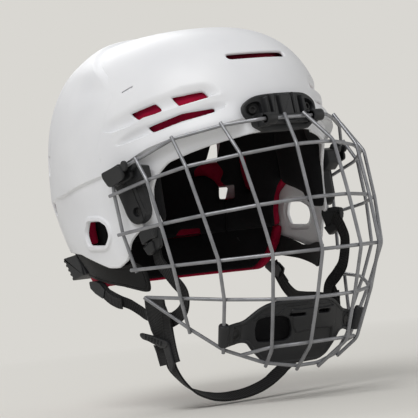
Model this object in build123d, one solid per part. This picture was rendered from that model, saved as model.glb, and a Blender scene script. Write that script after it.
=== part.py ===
from build123d import *
import math
import os

# Ice hockey helmet with a wire face cage, in millimetres.
# Frame: +Z up, the face looks along -Y, the wearer's right side is at -X.
# The origin is the centre of the head ring, level with the lower forehead.

# sizes of the shell dome, measured on the outside of the front shell
dome_half_width = 98.0
dome_front_depth = 122.0
dome_rear_depth = 148.0
dome_height = 121.0
widest_y = 9.0
widest_z = -20.0
profile_power = 2.9
foot_share = 0.975
rear_wall_z = [-20.0, -40.0, -62.0, -100.0]
rear_wall_shares = [1.0, 0.919, 0.811, 0.71]
wall_bottom_z = -100.0
profile_arcs = 6

# layers, given as growth of the dome surface
front_shell_out = 0.0
front_shell_in = -2.8
tongue_out = -2.2
tongue_in = -4.6
rear_shell_out = 2.8
rear_shell_in = 0.3
seat_gap = 0.3
front_foam_out = tongue_in - seat_gap
rear_foam_out = rear_shell_in - seat_gap
foam_in = -12.0
pad_out = foam_in - seat_gap
pad_in = -19.0
plate_in = rear_shell_out + seat_gap
plate_out = 6.2
latch_in = plate_out + seat_gap
mount_in = front_shell_out + seat_gap
mount_out = 5.0
clip_in = mount_out + seat_gap

# long reach of the cutting prisms
reach = 260.0
half_turn = 180

# side views of the shell parts: (y, z) corner lists
front_shell_side = [
    (-200, 14), (-112, 11.8), (-87, 3.8), (-65, -4), (-57.5, -13), (-59, -46), (-56, -53),
    (-42, -51.5), (-34, -48), (-25, -34), (-8, -14), (10, -7), (18, 12), (6, 45),
    (17, 69), (60, 92), (70, 99), (75, 200), (-200, 200),
]
tongue_side = [
    (44, 200), (44, 110), (41, 97), (31, 90), (-11, 66), (-24, 50), (-9, 14), (-14, -7),
    (-36, -26), (-45, -42), (-46, -51.5), (-42, -51.5), (-34, -48), (-25, -34), (-8, -14),
    (10, -7), (18, 12), (6, 45), (17, 69), (60, 92), (70, 99), (75, 200),
]
seam_side = [
    (50, 200), (50, 110), (47, 97), (37, 91.5), (-5, 68.5), (-18, 50), (-2.5, 13), (-7, -7),
    (-30, -26), (-39, -42), (-41, -51),
]
lobe_side = [
    (-33, -54.5), (-27, -60), (-22, -73), (-12, -78), (0, -77.5), (20, -71), (42, -64.6),
    (75, -62), (220, -62), (220, 200),
]
front_foam_side = [
    (-200, 20), (-106, 16), (-84, 9), (-62, 0), (-53, -10), (-54, -44), (-51, -48),
    (-40, -46), (-26, -33), (-9, -13), (9, -6), (16, 12), (4, 45),
    (15, 70), (58, 93), (68, 100), (73, 200), (-200, 200),
]
rear_foam_side = [
    (77, 200), (72, 98), (62, 91), (19, 68), (8, 45), (20, 12), (12, -8), (14, -22),
    (29, -32), (32, -45), (31, -57.5), (220, -57.5), (220, 200),
]

# openings through the shell, as points on the dome on the wearer's right side
vent_rear_points = [
    (-87.4, -35.3, 36.8), (-77.3, -56.1, 42.1), (-75.8, -61.4, 36.4), (-86.3, -41.5, 31.5),
]
vent_front_points = [
    (-69.8, -66.8, 44.9), (-52.2, -85.5, 47.1), (-49.6, -90.0, 41.0), (-67.2, -73.6, 37.3),
]
vent_low_points = [
    (-83.5, -50.9, 24.2), (-66.8, -76.0, 31.3), (-48.6, -93.1, 32.9), (-48.6, -93.9, 29.7),
    (-67.8, -76.2, 25.9), (-81.9, -55.5, 20.0),
]
slit_points = [
    (-85.4, -26.2, 54.3), (-80.9, -35.7, 57.6), (-80.9, -35.7, 56.4), (-85.2, -26.8, 53.0),
]
vent_cut_depth = 7.0
vent_corner = 1.2
slit_corner = 0.3
top_slot_width = 54.0
top_slot_height = 3.6
top_slot_z = 70.6
ear_hole_side = [(-2, -50), (4.5, -58), (16, -57.5), (22, -44), (13, -40), (3, -42)]
ear_hole_corner = 2.0
rear_vent_side = [(91, 16), (104, 17), (104, 2), (93, 1)]
rear_window_side = [(86, -21.5), (97, -21), (98, -30), (88, -31)]
rear_slit_side = [(84, 26), (85.6, 26), (86.4, 13), (84.8, 13)]

# cage wire
wire_radius = 1.35
weld_depth = 0.2
wire_gap = 2 * wire_radius - weld_depth
tip_run = 2.2

# forehead hinge line of the cage
hinge_y = -124.2
hinge_z = 19.5
hinge_half = 30.5
hinge_bend = 8.0

# crossing points of the wires on the wearer's left side, outer wires
line_1 = [(98.7, -56.2, 0.9), (99.6, -68.9, -15.4), (97.2, -77.5, -49.0), (93.8, -82.3, -80.6),
          (86.1, -76.5, -106.0), (76.8, -69.2, -130.5)]
line_2 = [(80.3, -79.6, 13.1), (83.6, -98.1, -9.3), (80.6, -108.9, -46.3), (76.3, -115.9, -80.6),
          (68.3, -106.2, -110.2), (60.1, -85.8, -147.9)]
line_3 = [(53.0, -105.8, 19.2), (54.1, -126.6, -4.8), (51.9, -138.4, -43.6),
          (49.5, -146.2, -80.6), (45.7, -135.2, -113.6), (39.8, -118.5, -149.5),
          (34.2, -101.5, -161.4)]
line_4 = [(9.0, -126.06, 21.17), (17.0, -146.5, -1.5), (18.0, -156.5, -41.9), (17.9, -164.2, -80.6),
          (17.4, -151.1, -115.5), (16.9, -135.5, -148.9), (10.3, -107.6, -166.7)]
# outward directions at the crossings, one per point
out_1 = [(0.93, -0.37, 0.1), (0.97, -0.24, 0.0), (0.97, -0.24, 0.0), (0.97, -0.24, -0.04),
         (0.9, -0.3, -0.32), (0.8, -0.3, -0.52)]
out_2 = [(0.75, -0.6, 0.28), (0.82, -0.57, 0.05), (0.82, -0.57, 0.0), (0.82, -0.57, -0.05),
         (0.75, -0.57, -0.34), (0.6, -0.55, -0.58)]
out_3 = [(0.42, -0.78, 0.46), (0.42, -0.88, 0.2), (0.42, -0.9, 0.0), (0.42, -0.9, -0.1),
         (0.4, -0.84, -0.36), (0.35, -0.75, -0.56), (0.25, -0.6, -0.76)]
out_4 = [(0.0, -0.86, 0.5), (0.1, -0.96, 0.25), (0.1, -0.98, 0.1), (0.1, -0.99, -0.1),
         (0.1, -0.9, -0.42), (0.1, -0.78, -0.62), (0.05, -0.45, -0.89)]
# rear ends of the level wires, outer side
end_1 = (105.6, -28.7, -23.2)
end_2 = (103.4, -31.3, -53.1)
end_3 = (98.8, -36.2, -80.6)
side_out = (1.0, 0.0, 0.0)
corner_point = (92.2, -43.0, -102.1)
corner_out = (0.907, -0.114, -0.405)
short_wire_end = (49.9, -92.6, -152.0)
# frame wire in the side latch
latch_x = 101.8
latch_front_x = 100.8
latch_rear_x = 102.3
latch_front = (-47.0, -2.5)
latch_corner = (-27.2, -8.5)
frame_bend = 5.0
line_bend = 11.0
level_bend = 45.0
rim_bend = 24.0

# forehead mount
mount_front = [(-33, 12), (-34, 17), (-30, 27), (-20, 33), (0, 35), (20, 33), (30, 27),
               (34, 17), (33, 12), (20, 10.5), (12, 8), (-12, 8), (-20, 10.5)]
mount_corner = 2.0
block_half = 12.0
block_low_z = 12.0
block_high_z = 29.0
block_front_y = -120.5
clip_x = 21.6
clip_half = 4.5
clip_radius = 4.6
clip_mouth = 2.2
rotation_clearance = 0.1
arm_half_height = 3.6
screw_x = 25.3
screw_z = 27.0
screw_head_radius = 3.6
screw_head_height = 2.0
screw_core_radius = 1.9
screw_length = 7.5
hex_share = 0.5
fit_gap = 0.3

# side clip plate, latch block and screw, right side: (y, z) lists
plate_side = [(-17, -3), (-30, 2), (-46, 4), (-53.5, -6), (-56, -16), (-56.5, -38),
              (-53, -46), (-46, -50), (-38, -47), (-33, -38), (-26, -22), (-17, -15)]
plate_corner = 3.0
boss_side = [(-60, 10), (-12, 10), (-20, -7), (-36, -22), (-46, -42), (-46, -60), (-60, -60)]
latch_side = [(-16.5, -5), (-41, 3), (-46, 1), (-46.5, -8), (-35, -12), (-31, -19), (-18, -16)]
latch_corner_radius = 2.0
latch_far_x = 108.6
slot_wide = 1.9
side_screw_y = -44.5
side_screw_z = -37.5
side_screw_radius = 3.2
side_screw_height = 1.8
rib_side = [(-50, -20), (-47, -20), (-48, -34), (-51, -34)]
rib_out = 7.4

# chin cup
cup_arc = 150.0
cup_thickness = 3.0
cup_tilt = 18.0
cup_outline = [(-29, 18), (-17, 24), (17, 24), (29, 18), (44, 11), (60, 7), (60, -11), (44, -11),
               (33, -14), (27, -21), (14, -24), (-14, -24), (-27, -21), (-33, -14), (-44, -11),
               (-60, -11), (-60, 7), (-44, 11)]
cup_corner = 3.0
cup_vent_x = 15.0
cup_vent_z = 8.0
cup_vent_long = 10.0
cup_vent_high = 4.4
cup_panel_half = 13.0
cup_panel_low = -20.0
cup_panel_high = 21.0
cup_panel_rise = 1.8
cup_pad_outline = [(-27, 14), (-15, 20), (15, 20), (27, 14), (30, 0), (24, -16), (12, -20),
                   (-12, -20), (-24, -16), (-30, 0)]
cup_pad_thickness = 6.0
grip_share = 0.68
grip_half = 9.0
grip_radius = 4.0
snap_radius = 5.2
snap_height = 2.2
snap_x = 47.0
snap_z = 2.0

# straps and their hardware
web_thickness = 1.6
web_width = 11.0
front_strap_x = 82.6
front_strap_line = [(-46, -58), (-50, -80), (-54, -97), (-49, -113), (-46, -126)]
rear_strap_x = 84.9
rear_strap_line = [(35, -91.5), (24, -96.8), (6, -103.6), (-49, -122.5)]
rear_strap_width = 8.4
strap_bend = 6.0
anchor_side = [(-56, -58), (-38, -56), (-40, -74), (-47, -80), (-58, -75)]
anchor_thick = 6.0
anchor_x = 82.6
slider_side = [(46, -86), (45, -91.4), (38.6, -95.8), (28.4, -100.4), (24.8, -93.5), (31, -88.4),
               (38, -86.2)]
slider_thick = 5.0
buckle_side = [(-17, -131.4), (-18.5, -134.4), (-27, -137), (-33, -152), (-45, -155.6),
               (-54, -157.4), (-54.4, -139.5), (-54, -134.5), (-34, -131.4)]
buckle_thick = 6.0
strap_axis_y = -46.0
strap_axis_z = -121.0
chin_band_half = 80.0
chin_band_line = [(-81, -152), (-67, -176), (-36, -189), (0, -184), (36, -165), (62, -150),
                  (80.2, -139)]
chin_band_bend = 60.0
chin_band_width = 12.0
pin_radius = 2.0
pin_head_radius = 3.6
pin_half = 4.8
pin_head = 1.6

# collar below the shell: it leans in towards the neck
collar_top_z = -57.8
collar_low_z = -99.0
collar_top_half = 96.5
collar_low_half = 79.0
collar_top_front = 119.0
collar_low_front = 104.0
collar_top_rear = 120.0
collar_low_rear = 101.0
band_out = 2.2
band_in = 0.0
band_side = [(64, -63.3), (42, -65.1), (20, -71.5), (0, -78.0), (-12, -78.6), (-20, -77.5),
             (-26, -80), (-33, -87), (-33, -95.5), (-22, -96), (-4, -92), (12, -88.4),
             (24, -85), (40, -80.6), (64, -76.5)]
band_corner = 2.0
liner_out = -0.3
liner_in = -8.0
liner_side = [(31, -57.8), (29, -70), (33, -84), (42, -92), (220, -92), (220, -57.8)]
neck_pad_out = -8.3
neck_pad_in = -12.0
neck_pad_side = [(35, -60.5), (33, -70), (37, -82), (45, -89.5), (220, -89.5), (220, -60.5)]

# ribbed nape block
nape_block_x = 78.0
nape_block_y = 72.0
nape_block_z = -77.0
nape_block_long = 26.0
nape_block_high = 27.0
nape_block_thick = 8.0
nape_turn = 36.0
tooth_count = 6
tooth_radius = 1.9

# wide tab that joins the straps below the neck band
tab_x = 78.1
tab_side = [(-21, -97), (-40, -97), (-45, -104), (-45, -113), (-52, -121), (-50, -131),
            (-28, -131), (-20, -116), (-19, -104)]
tab_corner = 2.0

# further sizes
tongue_lap = 7.0
quarter_turn = 90
tiny = 0.004
room_share = 0.48
bend_share = 0.45
wall_share = 0.9
screw_bore_long = 12.0
buckle_slot_gap = 0.4
seat_depth = 2.2
side_seat_depth = 1.4
mouth_turn = 50.0
slot_run = 12.0
slot_half = 2.6
slot_lift = 0.3
cup_place_y = 43.0
cup_place_z = -89.7
band_top = 6.0
pin_x = 81.4
pad_corner = 4.0
brow_pad_half = 66.0
brow_pad_side = [(-115, 12), (-115, 46), (-60, 52), (-48, 30), (-52, 3), (-84, 10)]
crown_pad_half = 34.0
crown_pad_side = [(-45, 70), (-45, 130), (52, 130), (52, 70)]
nape_pad_half = 78.0
nape_pad_side = [(82, -55), (82, -35), (101, -35), (101, -18), (109, -14), (109, 40), (180, 40),
                 (180, -55)]
temple_pad_inner = 30.0
temple_pad_side = [(-45, 22), (-50, -4), (-46, -12), (-47, -42), (-28, -36), (-12, -14), (-4, 8),
                   (-10, 40), (-40, 50)]
side_pad_inner = 30.0
side_pad_side = [(17, 20), (17, -20), (34, -35), (36, -55), (78, -55), (78, -17), (87, -13),
                 (87, 44), (28, 44)]

dome_store = {}


def unit(vector):
    length = math.sqrt(sum(value * value for value in vector))
    return tuple(value / length for value in vector)


def shifted(point, direction, distance):
    way = unit(direction)
    return tuple(point[i] + way[i] * distance for i in range(len(point)))


def other_side(point):
    return (-point[0], point[1], point[2])


def half_dome(grow, depth, turn):
    wide = dome_half_width + grow
    high = dome_height + grow
    share = 2 / profile_power
    points = []
    for step in range(2 * profile_arcs + 1):
        angle = math.pi / 2 * (1 - step / (2 * profile_arcs))
        radius = wide * max(math.cos(angle), 0) ** share
        if step == 0:
            radius = 0
        points.append((radius, widest_z + high * math.sin(angle) ** share))
    edges = []
    for i in range(profile_arcs):
        edges.append(ThreePointArc(points[2 * i], points[2 * i + 1], points[2 * i + 2]))
    edges.append(Line(points[-1], (0, widest_z)))
    edges.append(Line((0, widest_z), points[0]))
    body = revolve(Plane.XZ * make_face(edges), axis=Axis.Z, revolution_arc=half_turn)
    body = scale(body, by=(1, (depth + grow) / wide, 1))
    body = body.rotate(Axis.Z, turn)
    return body.translate((0, widest_y, 0))


def half_ring(wide, depth, z):
    """Half an ellipse in front of or behind the middle, at a height."""
    start = 0 if depth > 0 else half_turn
    arc = EllipticalCenterArc((0, 0), wide, abs(depth), start, arc_size=half_turn)
    face = make_face([arc, Line(arc @ 1, arc @ 0)])
    return face.translate((0, widest_y, z))


def half_wall(high, low):
    """A ruled wall between two half rings, each given as width, depth and height."""
    return loft([half_ring(*high), half_ring(*low)], ruled=True)


def dome(grow):
    if grow not in dome_store:
        wide = dome_half_width + grow
        front = dome_front_depth + grow
        low = wide * foot_share
        body = half_dome(grow, dome_front_depth, half_turn) + half_dome(grow, dome_rear_depth, 0)
        body = body + half_wall((wide, -front, widest_z),
                                (low, -front * foot_share, wall_bottom_z))
        rings = []
        for z, share in zip(rear_wall_z, rear_wall_shares):
            down = (widest_z - z) / (widest_z - wall_bottom_z)
            rings.append((wide + (low - wide) * down, dome_rear_depth * share + grow, z))
        for high, under in zip(rings[:-1], rings[1:]):
            body = body + half_wall(high, under)
        dome_store[grow] = body
    return dome_store[grow]


def cone(grow):
    """The wall below the shell, which leans in towards the neck."""
    high = (collar_top_half + grow, collar_top_z)
    low = (collar_low_half + grow, collar_low_z)
    front = half_wall((high[0], -collar_top_front - grow, high[1]),
                      (low[0], -collar_low_front - grow, low[1]))
    rear = half_wall((high[0], collar_top_rear + grow, high[1]),
                     (low[0], collar_low_rear + grow, low[1]))
    return front + rear


def collar(out_grow, in_grow, outline, corner=0):
    return (cone(out_grow) - cone(in_grow)) & side_prism(outline, corner)


def layer(out_grow, in_grow):
    return dome(out_grow) - dome(in_grow)


def rounded_face(points, corner):
    face = make_face(Polyline(*points, close=True))
    if corner > 0:
        face = fillet(face.vertices(), corner)
    return face


def side_prism(points, corner=0, near=-reach, far=reach):
    face = Plane.YZ * rounded_face(points, corner)
    return extrude(face.translate((near, 0, 0)), amount=far - near, dir=(1, 0, 0))


def front_prism(points, corner=0):
    face = Plane.XZ * rounded_face(points, corner)
    return extrude(face, amount=reach, dir=(0, -1, 0))


def opening_tool(points, corner):
    first = Vector(*points[0])
    along = Vector(*points[1]) - first
    across = Vector(*points[-1]) - first
    middle = Vector(0, 0, 0)
    for point in points:
        middle = middle + Vector(*point) * (1 / len(points))
    plane = Plane(origin=middle, x_dir=along, z_dir=along.cross(across))
    flat = []
    for point in points:
        local = plane.to_local_coords(Vector(*point))
        flat.append((local.X, local.Y))
    face = plane * rounded_face(flat, corner)
    return extrude(face, amount=vent_cut_depth, both=True)


def both_sides(shape):
    return shape + mirror(shape, about=Plane.YZ)


def through_points(points, bends, loose):
    """Corners moved so that the arcs touch the given points, but for the loose ones."""
    last = len(points) - 1
    corners = [Vector(*point) for point in points]
    for turn in range(8):
        moved = [corners[0]]
        for i in range(1, last):
            before = (corners[i - 1] - corners[i]).normalized()
            after = (corners[i + 1] - corners[i]).normalized()
            inward = before + after
            size = inward.length
            if size < tiny or bends[i] == 0 or i in loose:
                moved.append(Vector(*points[i]))
                continue
            half = math.asin(min(1, size / 2))
            lift = bends[i] * (1 / math.cos(half) - 1)
            moved.append(Vector(*points[i]) - inward.normalized() * lift)
        moved.append(corners[last])
        corners = moved
    return corners


def wire_path(points, bends, loose=()):
    """Straight runs joined by tangent arcs."""
    corners = through_points(points, bends, loose)
    last = len(corners) - 1
    edges = []
    start = corners[0]
    for i in range(1, last):
        before = (corners[i - 1] - corners[i]).normalized()
        after = (corners[i + 1] - corners[i]).normalized()
        inward = before + after
        size = inward.length
        if size < tiny or bends[i] == 0:
            continue
        half = math.asin(min(1, size / 2))
        room = min((corners[i - 1] - corners[i]).length, (corners[i + 1] - corners[i]).length)
        bend = min(bends[i], room_share * room / math.tan(half))
        run = bend * math.tan(half)
        enter = corners[i] + before * run
        leave = corners[i] + after * run
        lift = bend * (1 / math.cos(half) - 1)
        crown = corners[i] + inward.normalized() * lift
        if (enter - start).length > tiny:
            edges.append(Line(start, enter))
        edges.append(ThreePointArc(enter, crown, leave))
        start = leave
    edges.append(Line(start, corners[last]))
    return Wire(edges)


def fitted_bends(points, wanted):
    """Bend radii that leave room for both arcs on every run."""
    bends = [0]
    for i in range(1, len(points) - 1):
        here = Vector(*points[i])
        before = Vector(*points[i - 1]) - here
        after = Vector(*points[i + 1]) - here
        inward = before.normalized() + after.normalized()
        half = math.asin(min(1, inward.length / 2))
        if half < tiny:
            bends.append(0)
            continue
        room = min(before.length, after.length)
        bends.append(min(wanted, bend_share * room / math.tan(half)))
    bends.append(0)
    return bends


def round_wire(points, wanted):
    path = wire_path(points, fitted_bends(points, wanted))
    start = path @ 0
    way = path % 0
    section = Plane(origin=start, z_dir=way) * Circle(wire_radius)
    return sweep(section, path=path)


def full_row(points):
    return [other_side(point) for point in points] + points[::-1]


def run_on(points, distance):
    """Lengthen the last run of a list of points."""
    last = Vector(*points[-1])
    way = (last - Vector(*points[-2])).normalized()
    tip = last + way * distance
    return points[:-1] + [(tip.X, tip.Y, tip.Z)]


def level_wire(index, end):
    lines = [(line_4, out_4), (line_3, out_3), (line_2, out_2), (line_1, out_1)]
    points = [shifted(line[index], out[index], -wire_gap) for line, out in lines]
    points = run_on(points + [end], tip_run)
    return round_wire(full_row(points[::-1]), level_bend)


def upright_wire(points, end_run):
    points = run_on(points, end_run)
    points = run_on(points[::-1], end_run)[::-1]
    return round_wire(points, line_bend)


def frame_wire():
    side = [
        (hinge_half, hinge_y, hinge_z),
        shifted(line_3[0], out_3[0], -wire_gap),
        shifted(line_2[0], out_2[0], -wire_gap),
        shifted(line_1[0], out_1[0], -wire_gap),
        (latch_front_x, latch_front[0], latch_front[1]),
        (latch_rear_x, latch_corner[0], latch_corner[1]),
        shifted(end_1, side_out, -wire_gap),
        shifted(end_2, side_out, -wire_gap),
        shifted(end_3, side_out, -wire_gap),
    ]
    side = run_on(side, tip_run)
    points = [other_side(point) for point in side[::-1]] + side
    middle = len(side)
    loose = (middle, middle - 1, middle + 4, middle - 5, middle + 5, middle - 6)
    bends = fitted_bends(points, rim_bend)
    bends[middle] = hinge_bend
    bends[middle - 1] = hinge_bend
    bends[middle + 5] = frame_bend
    bends[middle - 6] = frame_bend
    path = wire_path(points, bends, loose)
    section = Plane(origin=path @ 0, z_dir=path % 0) * Circle(wire_radius)
    return sweep(section, path=path)


def chin_loop():
    side = [
        shifted(line_4[4], out_4[4], -wire_gap),
        shifted(line_3[4], out_3[4], -wire_gap),
        shifted(line_2[4], out_2[4], -wire_gap),
        shifted(line_1[4], out_1[4], -wire_gap),
        corner_point,
    ]
    side = run_on(side, tip_run)
    return round_wire(full_row(side[::-1]), level_bend)


def rim_wire():
    side = [
        shifted(line_4[6], out_4[6], -wire_gap),
        shifted(line_3[6], out_3[6], -wire_gap),
        shifted(line_2[5], out_2[5], -wire_gap),
        shifted(line_1[5], out_1[5], -wire_gap),
        shifted(corner_point, corner_out, wire_gap),
    ]
    side = run_on(side, tip_run)
    return round_wire(full_row(side[::-1]), rim_bend)


def short_wire():
    side = [
        shifted(line_4[5], out_4[5], -wire_gap),
        shifted(line_3[5], out_3[5], -wire_gap),
        short_wire_end,
    ]
    return round_wire(full_row(side[::-1]), rim_bend)


def build_cage():
    pieces = {
        "cage_frame_wire": frame_wire(),
        "cage_level_wire_1": level_wire(1, end_1),
        "cage_level_wire_2": level_wire(2, end_2),
        "cage_level_wire_3": level_wire(3, end_3),
        "cage_chin_wire": chin_loop(),
        "cage_short_wire": short_wire(),
        "cage_rim_wire": rim_wire(),
    }
    lines = [line_1, line_2, line_3, line_4]
    for number, line in enumerate(lines, start=1):
        left = upright_wire(line, wire_radius)
        pieces[f"cage_upright_{number}_left"] = left
        pieces[f"cage_upright_{number}_right"] = mirror(left, about=Plane.YZ)
    return pieces


def hull_cut(grow_out, grow_in, outline, corner=0):
    return layer(grow_out, grow_in) & side_prism(outline, corner)


def vent_tools():
    tools = opening_tool(vent_rear_points, vent_corner)
    tools = tools + opening_tool(vent_front_points, vent_corner)
    tools = tools + opening_tool(vent_low_points, vent_corner)
    tools = tools + opening_tool(slit_points, slit_corner)
    return both_sides(tools)


def top_slot_tool():
    slot = Plane.XZ * Pos(0, top_slot_z) * SlotOverall(top_slot_width, top_slot_height)
    return extrude(slot, amount=reach, dir=(0, -1, 0))


def ring_share(grow, z):
    """How wide the dome is at a height, as a share of its widest ring."""
    rise = (z - widest_z) / (dome_height + grow)
    return (1 - max(rise, 0) ** profile_power) ** (1 / profile_power)


def front_y(grow, x, z):
    share = ring_share(grow, z) ** 2 - (x / (dome_half_width + grow)) ** 2
    return widest_y - (dome_front_depth + grow) * math.sqrt(share)


def side_x(grow, y, z):
    share = ring_share(grow, z) ** 2 - ((y - widest_y) / (dome_front_depth + grow)) ** 2
    return -(dome_half_width + grow) * math.sqrt(share)


def outward(x, y, z):
    """The outward direction of the front half of the dome near a point."""
    ring = max(ring_share(0, z), wall_share)
    rise = max((z - widest_z) / dome_height, 0)
    up = rise ** (profile_power - 1) / dome_height
    tilt = ring ** (profile_power - 2)
    across = x / dome_half_width ** 2 * tilt
    ahead = (y - widest_y) / dome_front_depth ** 2 * tilt
    return unit((across, ahead, up))


def mount_plane(sunk):
    """A plane on the mount at its screw, sunk below the mount face."""
    y = front_y(mount_out, screw_x, screw_z)
    way = outward(screw_x, y, screw_z)
    middle = Vector(screw_x, y, screw_z) - Vector(*way) * sunk
    return Plane(origin=middle, z_dir=way)


def side_plane(sunk):
    """A plane on the side plate at its screw, sunk below the plate face."""
    x = side_x(plate_out, side_screw_y, side_screw_z)
    way = outward(x, side_screw_y, side_screw_z)
    middle = Vector(x, side_screw_y, side_screw_z) - Vector(*way) * sunk
    return Plane(origin=middle, z_dir=way)


def bore(plane, radius):
    return extrude(plane * Circle(radius), amount=screw_bore_long, both=True)


def seat(plane, radius):
    return extrude(plane * Circle(radius), amount=screw_bore_long)


def screw(plane, radius, height):
    """A pan head with a six-sided drive and a plain core, standing on a plane."""
    head = extrude(plane * Circle(radius), amount=height)
    core = extrude(plane * Circle(screw_core_radius), amount=-screw_length)
    drive = extrude(plane * RegularPolygon(radius * hex_share, 6), amount=height)
    drive = drive.translate(plane.z_dir * (height * hex_share))
    return head + core - drive


def front_shell():
    outside = hull_cut(front_shell_out, front_shell_in, front_shell_side)
    outside = outside - side_prism(tongue_side)
    tongue = hull_cut(tongue_out, tongue_in, tongue_join_side())
    body = outside + tongue
    body = body - vent_tools()
    body = body - top_slot_tool()
    body = body - both_sides(bore(mount_plane(0), screw_core_radius + fit_gap))
    return body - both_sides(bore(side_plane(0), screw_core_radius + fit_gap))


def tongue_join_side():
    """The tongue runs a little under the outer wall so that both are one piece."""
    front = [(y - tongue_lap, z) for y, z in tongue_side[:11]]
    return front + tongue_side[11:]


def rear_shell():
    outline = seam_side + lobe_side
    body = hull_cut(rear_shell_out, rear_shell_in, outline)
    body = body - side_prism(ear_hole_side, ear_hole_corner)
    window = side_prism(rear_vent_side, slit_corner)
    window = window + side_prism(rear_window_side, slit_corner)
    return body - window - side_prism(rear_slit_side)


def front_foam():
    body = hull_cut(front_foam_out, foam_in, front_foam_side)
    body = body - both_sides(bore(mount_plane(0), screw_core_radius + fit_gap))
    return body - both_sides(bore(side_plane(0), screw_core_radius + fit_gap))


def rear_foam():
    body = hull_cut(rear_foam_out, foam_in, rear_foam_side)
    body = body - side_prism(ear_hole_side, ear_hole_corner)
    window = side_prism(rear_vent_side, slit_corner)
    return body - window - side_prism(rear_window_side, slit_corner)


def pad(outline, half_low, half_high):
    """A comfort pad against the foam between two distances from the middle."""
    body = hull_cut(pad_out, pad_in, outline, pad_corner)
    block = side_prism(outline, 0, half_low, half_high)
    return body & block


def mount_plate():
    body = layer(mount_out, mount_in) & front_prism(mount_front, mount_corner)
    middle = Box(2 * block_half, reach, block_high_z - block_low_z)
    middle = middle.translate((0, block_front_y + reach / 2, (block_high_z + block_low_z) / 2))
    middle = middle - dome(mount_out - weld_depth)
    middle = middle & side_prism([(0, -reach), (0, reach), (-reach, reach), (-reach, -reach)])
    body = body + middle
    body = body - both_sides(bore(mount_plane(0), screw_core_radius + fit_gap))
    return body - both_sides(seat(mount_plane(seat_depth), screw_head_radius + fit_gap))


def mount_screw():
    return screw(mount_plane(seat_depth - seat_gap), screw_head_radius, screw_head_height)


def hinge_clip():
    """A hook round the top wire with an arm back to the mount."""
    centre = Plane.YZ * Pos(hinge_y, hinge_z)
    ring = extrude(centre * Circle(clip_radius), amount=clip_half, both=True)
    arm_long = reach / 2
    arm = Box(2 * clip_half, arm_long, 2 * arm_half_height)
    arm = arm.translate((0, hinge_y + arm_long / 2, hinge_z))
    body = (ring + arm).translate((clip_x, 0, 0)) - dome(clip_in)
    bore = extrude(centre * Circle(wire_radius + rotation_clearance), amount=reach, both=True)
    body = body - bore
    mouth = Box(reach, clip_radius * 2, clip_mouth)
    mouth = mouth.translate((0, -clip_radius, 0)).rotate(Axis.X, mouth_turn)
    body = body - mouth.translate((0, hinge_y, hinge_z))
    return front_part(body)


def front_part(shape):
    """Keep the solid that lies furthest forward."""
    solids = shape.solids()
    return min(solids, key=lambda solid: solid.center().Y)


def clip_plate():
    sheet = layer(plate_out, plate_in) & side_prism(plate_side, plate_corner, -reach, 0)
    foot = layer(plate_in + weld_depth, mount_in) & side_prism(boss_side, 0, -reach, 0)
    foot = foot & side_prism(plate_side, plate_corner, -reach, 0)
    rib = layer(rib_out, plate_out - weld_depth) & side_prism(rib_side, slit_corner, -reach, 0)
    body = sheet + foot + rib
    body = body - bore(side_plane(0), screw_core_radius + fit_gap)
    return body - seat(side_plane(side_seat_depth), side_screw_radius + fit_gap)


def side_screw():
    return screw(side_plane(side_seat_depth - seat_gap), side_screw_radius, side_screw_height)


def side_latch():
    """A block over the bend of the frame wire, open downwards where the wire leaves."""
    body = side_prism(latch_side, latch_corner_radius, -latch_far_x, 0) - dome(latch_in)
    solids = body.solids()
    body = min(solids, key=lambda solid: solid.center().X)
    rise = (latch_corner[1] - latch_front[1]) / (latch_corner[0] - latch_front[0])
    behind = latch_corner[0] + slot_wide
    top = latch_corner[1] + slot_wide
    ahead = latch_front[0] - slot_run
    outline = [(ahead, top + slot_lift + rise * (ahead - latch_corner[0])), (behind, top),
               (behind, -reach), (ahead, -reach)]
    slot = side_prism(outline, 0, -latch_x - slot_half, -latch_x + slot_half)
    return body - slot


def cup_shape(outline, back, front, corner):
    """A curved plate that follows the arc of the chin cup, upright at the middle."""
    face = Plane.XZ * rounded_face(outline, corner)
    block = extrude(face, amount=reach, dir=(0, -1, 0))
    outer = Cylinder(cup_arc + front, reach)
    inner = Cylinder(cup_arc + back, reach)
    return (outer - inner) & block


def cup_placed(shape):
    tilted = shape.rotate(Axis.X, cup_tilt)
    return tilted.translate((0, cup_place_y, cup_place_z))


def chin_cup():
    body = cup_shape(cup_outline, 0, cup_thickness, cup_corner)
    panel = [(-cup_panel_half, cup_panel_low), (-cup_panel_half, cup_panel_high),
             (cup_panel_half, cup_panel_high), (cup_panel_half, cup_panel_low)]
    lift = cup_thickness + cup_panel_rise
    body = body + cup_shape(panel, cup_thickness - weld_depth, lift, cup_corner)
    vent = Plane.XZ * Pos(cup_vent_x, cup_vent_z) * SlotOverall(cup_vent_long, cup_vent_high, 90)
    body = body - both_sides(extrude(vent, amount=reach, dir=(0, -1, 0)))
    body = cup_placed(body)
    body = body - both_sides(grip_cylinder(grip_radius + seat_gap, grip_half + seat_gap))
    return body


def grip_place():
    high = Vector(*line_2[4])
    low = Vector(*line_2[5])
    return high + (low - high) * grip_share, (low - high).normalized()


def grip_cylinder(radius, half):
    middle, way = grip_place()
    face = Plane(origin=middle - way * half, z_dir=way) * Circle(radius)
    return extrude(face, amount=2 * half, dir=way)


def cup_grip():
    """A sleeve round the upright wire at the end of the chin cup."""
    body = grip_cylinder(grip_radius, grip_half)
    return body - grip_cylinder(wire_radius + rotation_clearance, 2 * grip_half)


def cup_snap():
    place = math.degrees(math.asin(snap_x / cup_arc))
    stud = Cylinder(snap_radius, snap_height) + Pos(0, 0, snap_height) * Cylinder(
        snap_radius * hex_share, snap_height)
    stud = stud.rotate(Axis.X, quarter_turn)
    base = -cup_arc - cup_thickness - seat_gap - snap_height * hex_share
    stud = stud.translate((0, base, snap_z))
    stud = stud.rotate(Axis.Z, place)
    return cup_placed(stud)


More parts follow.
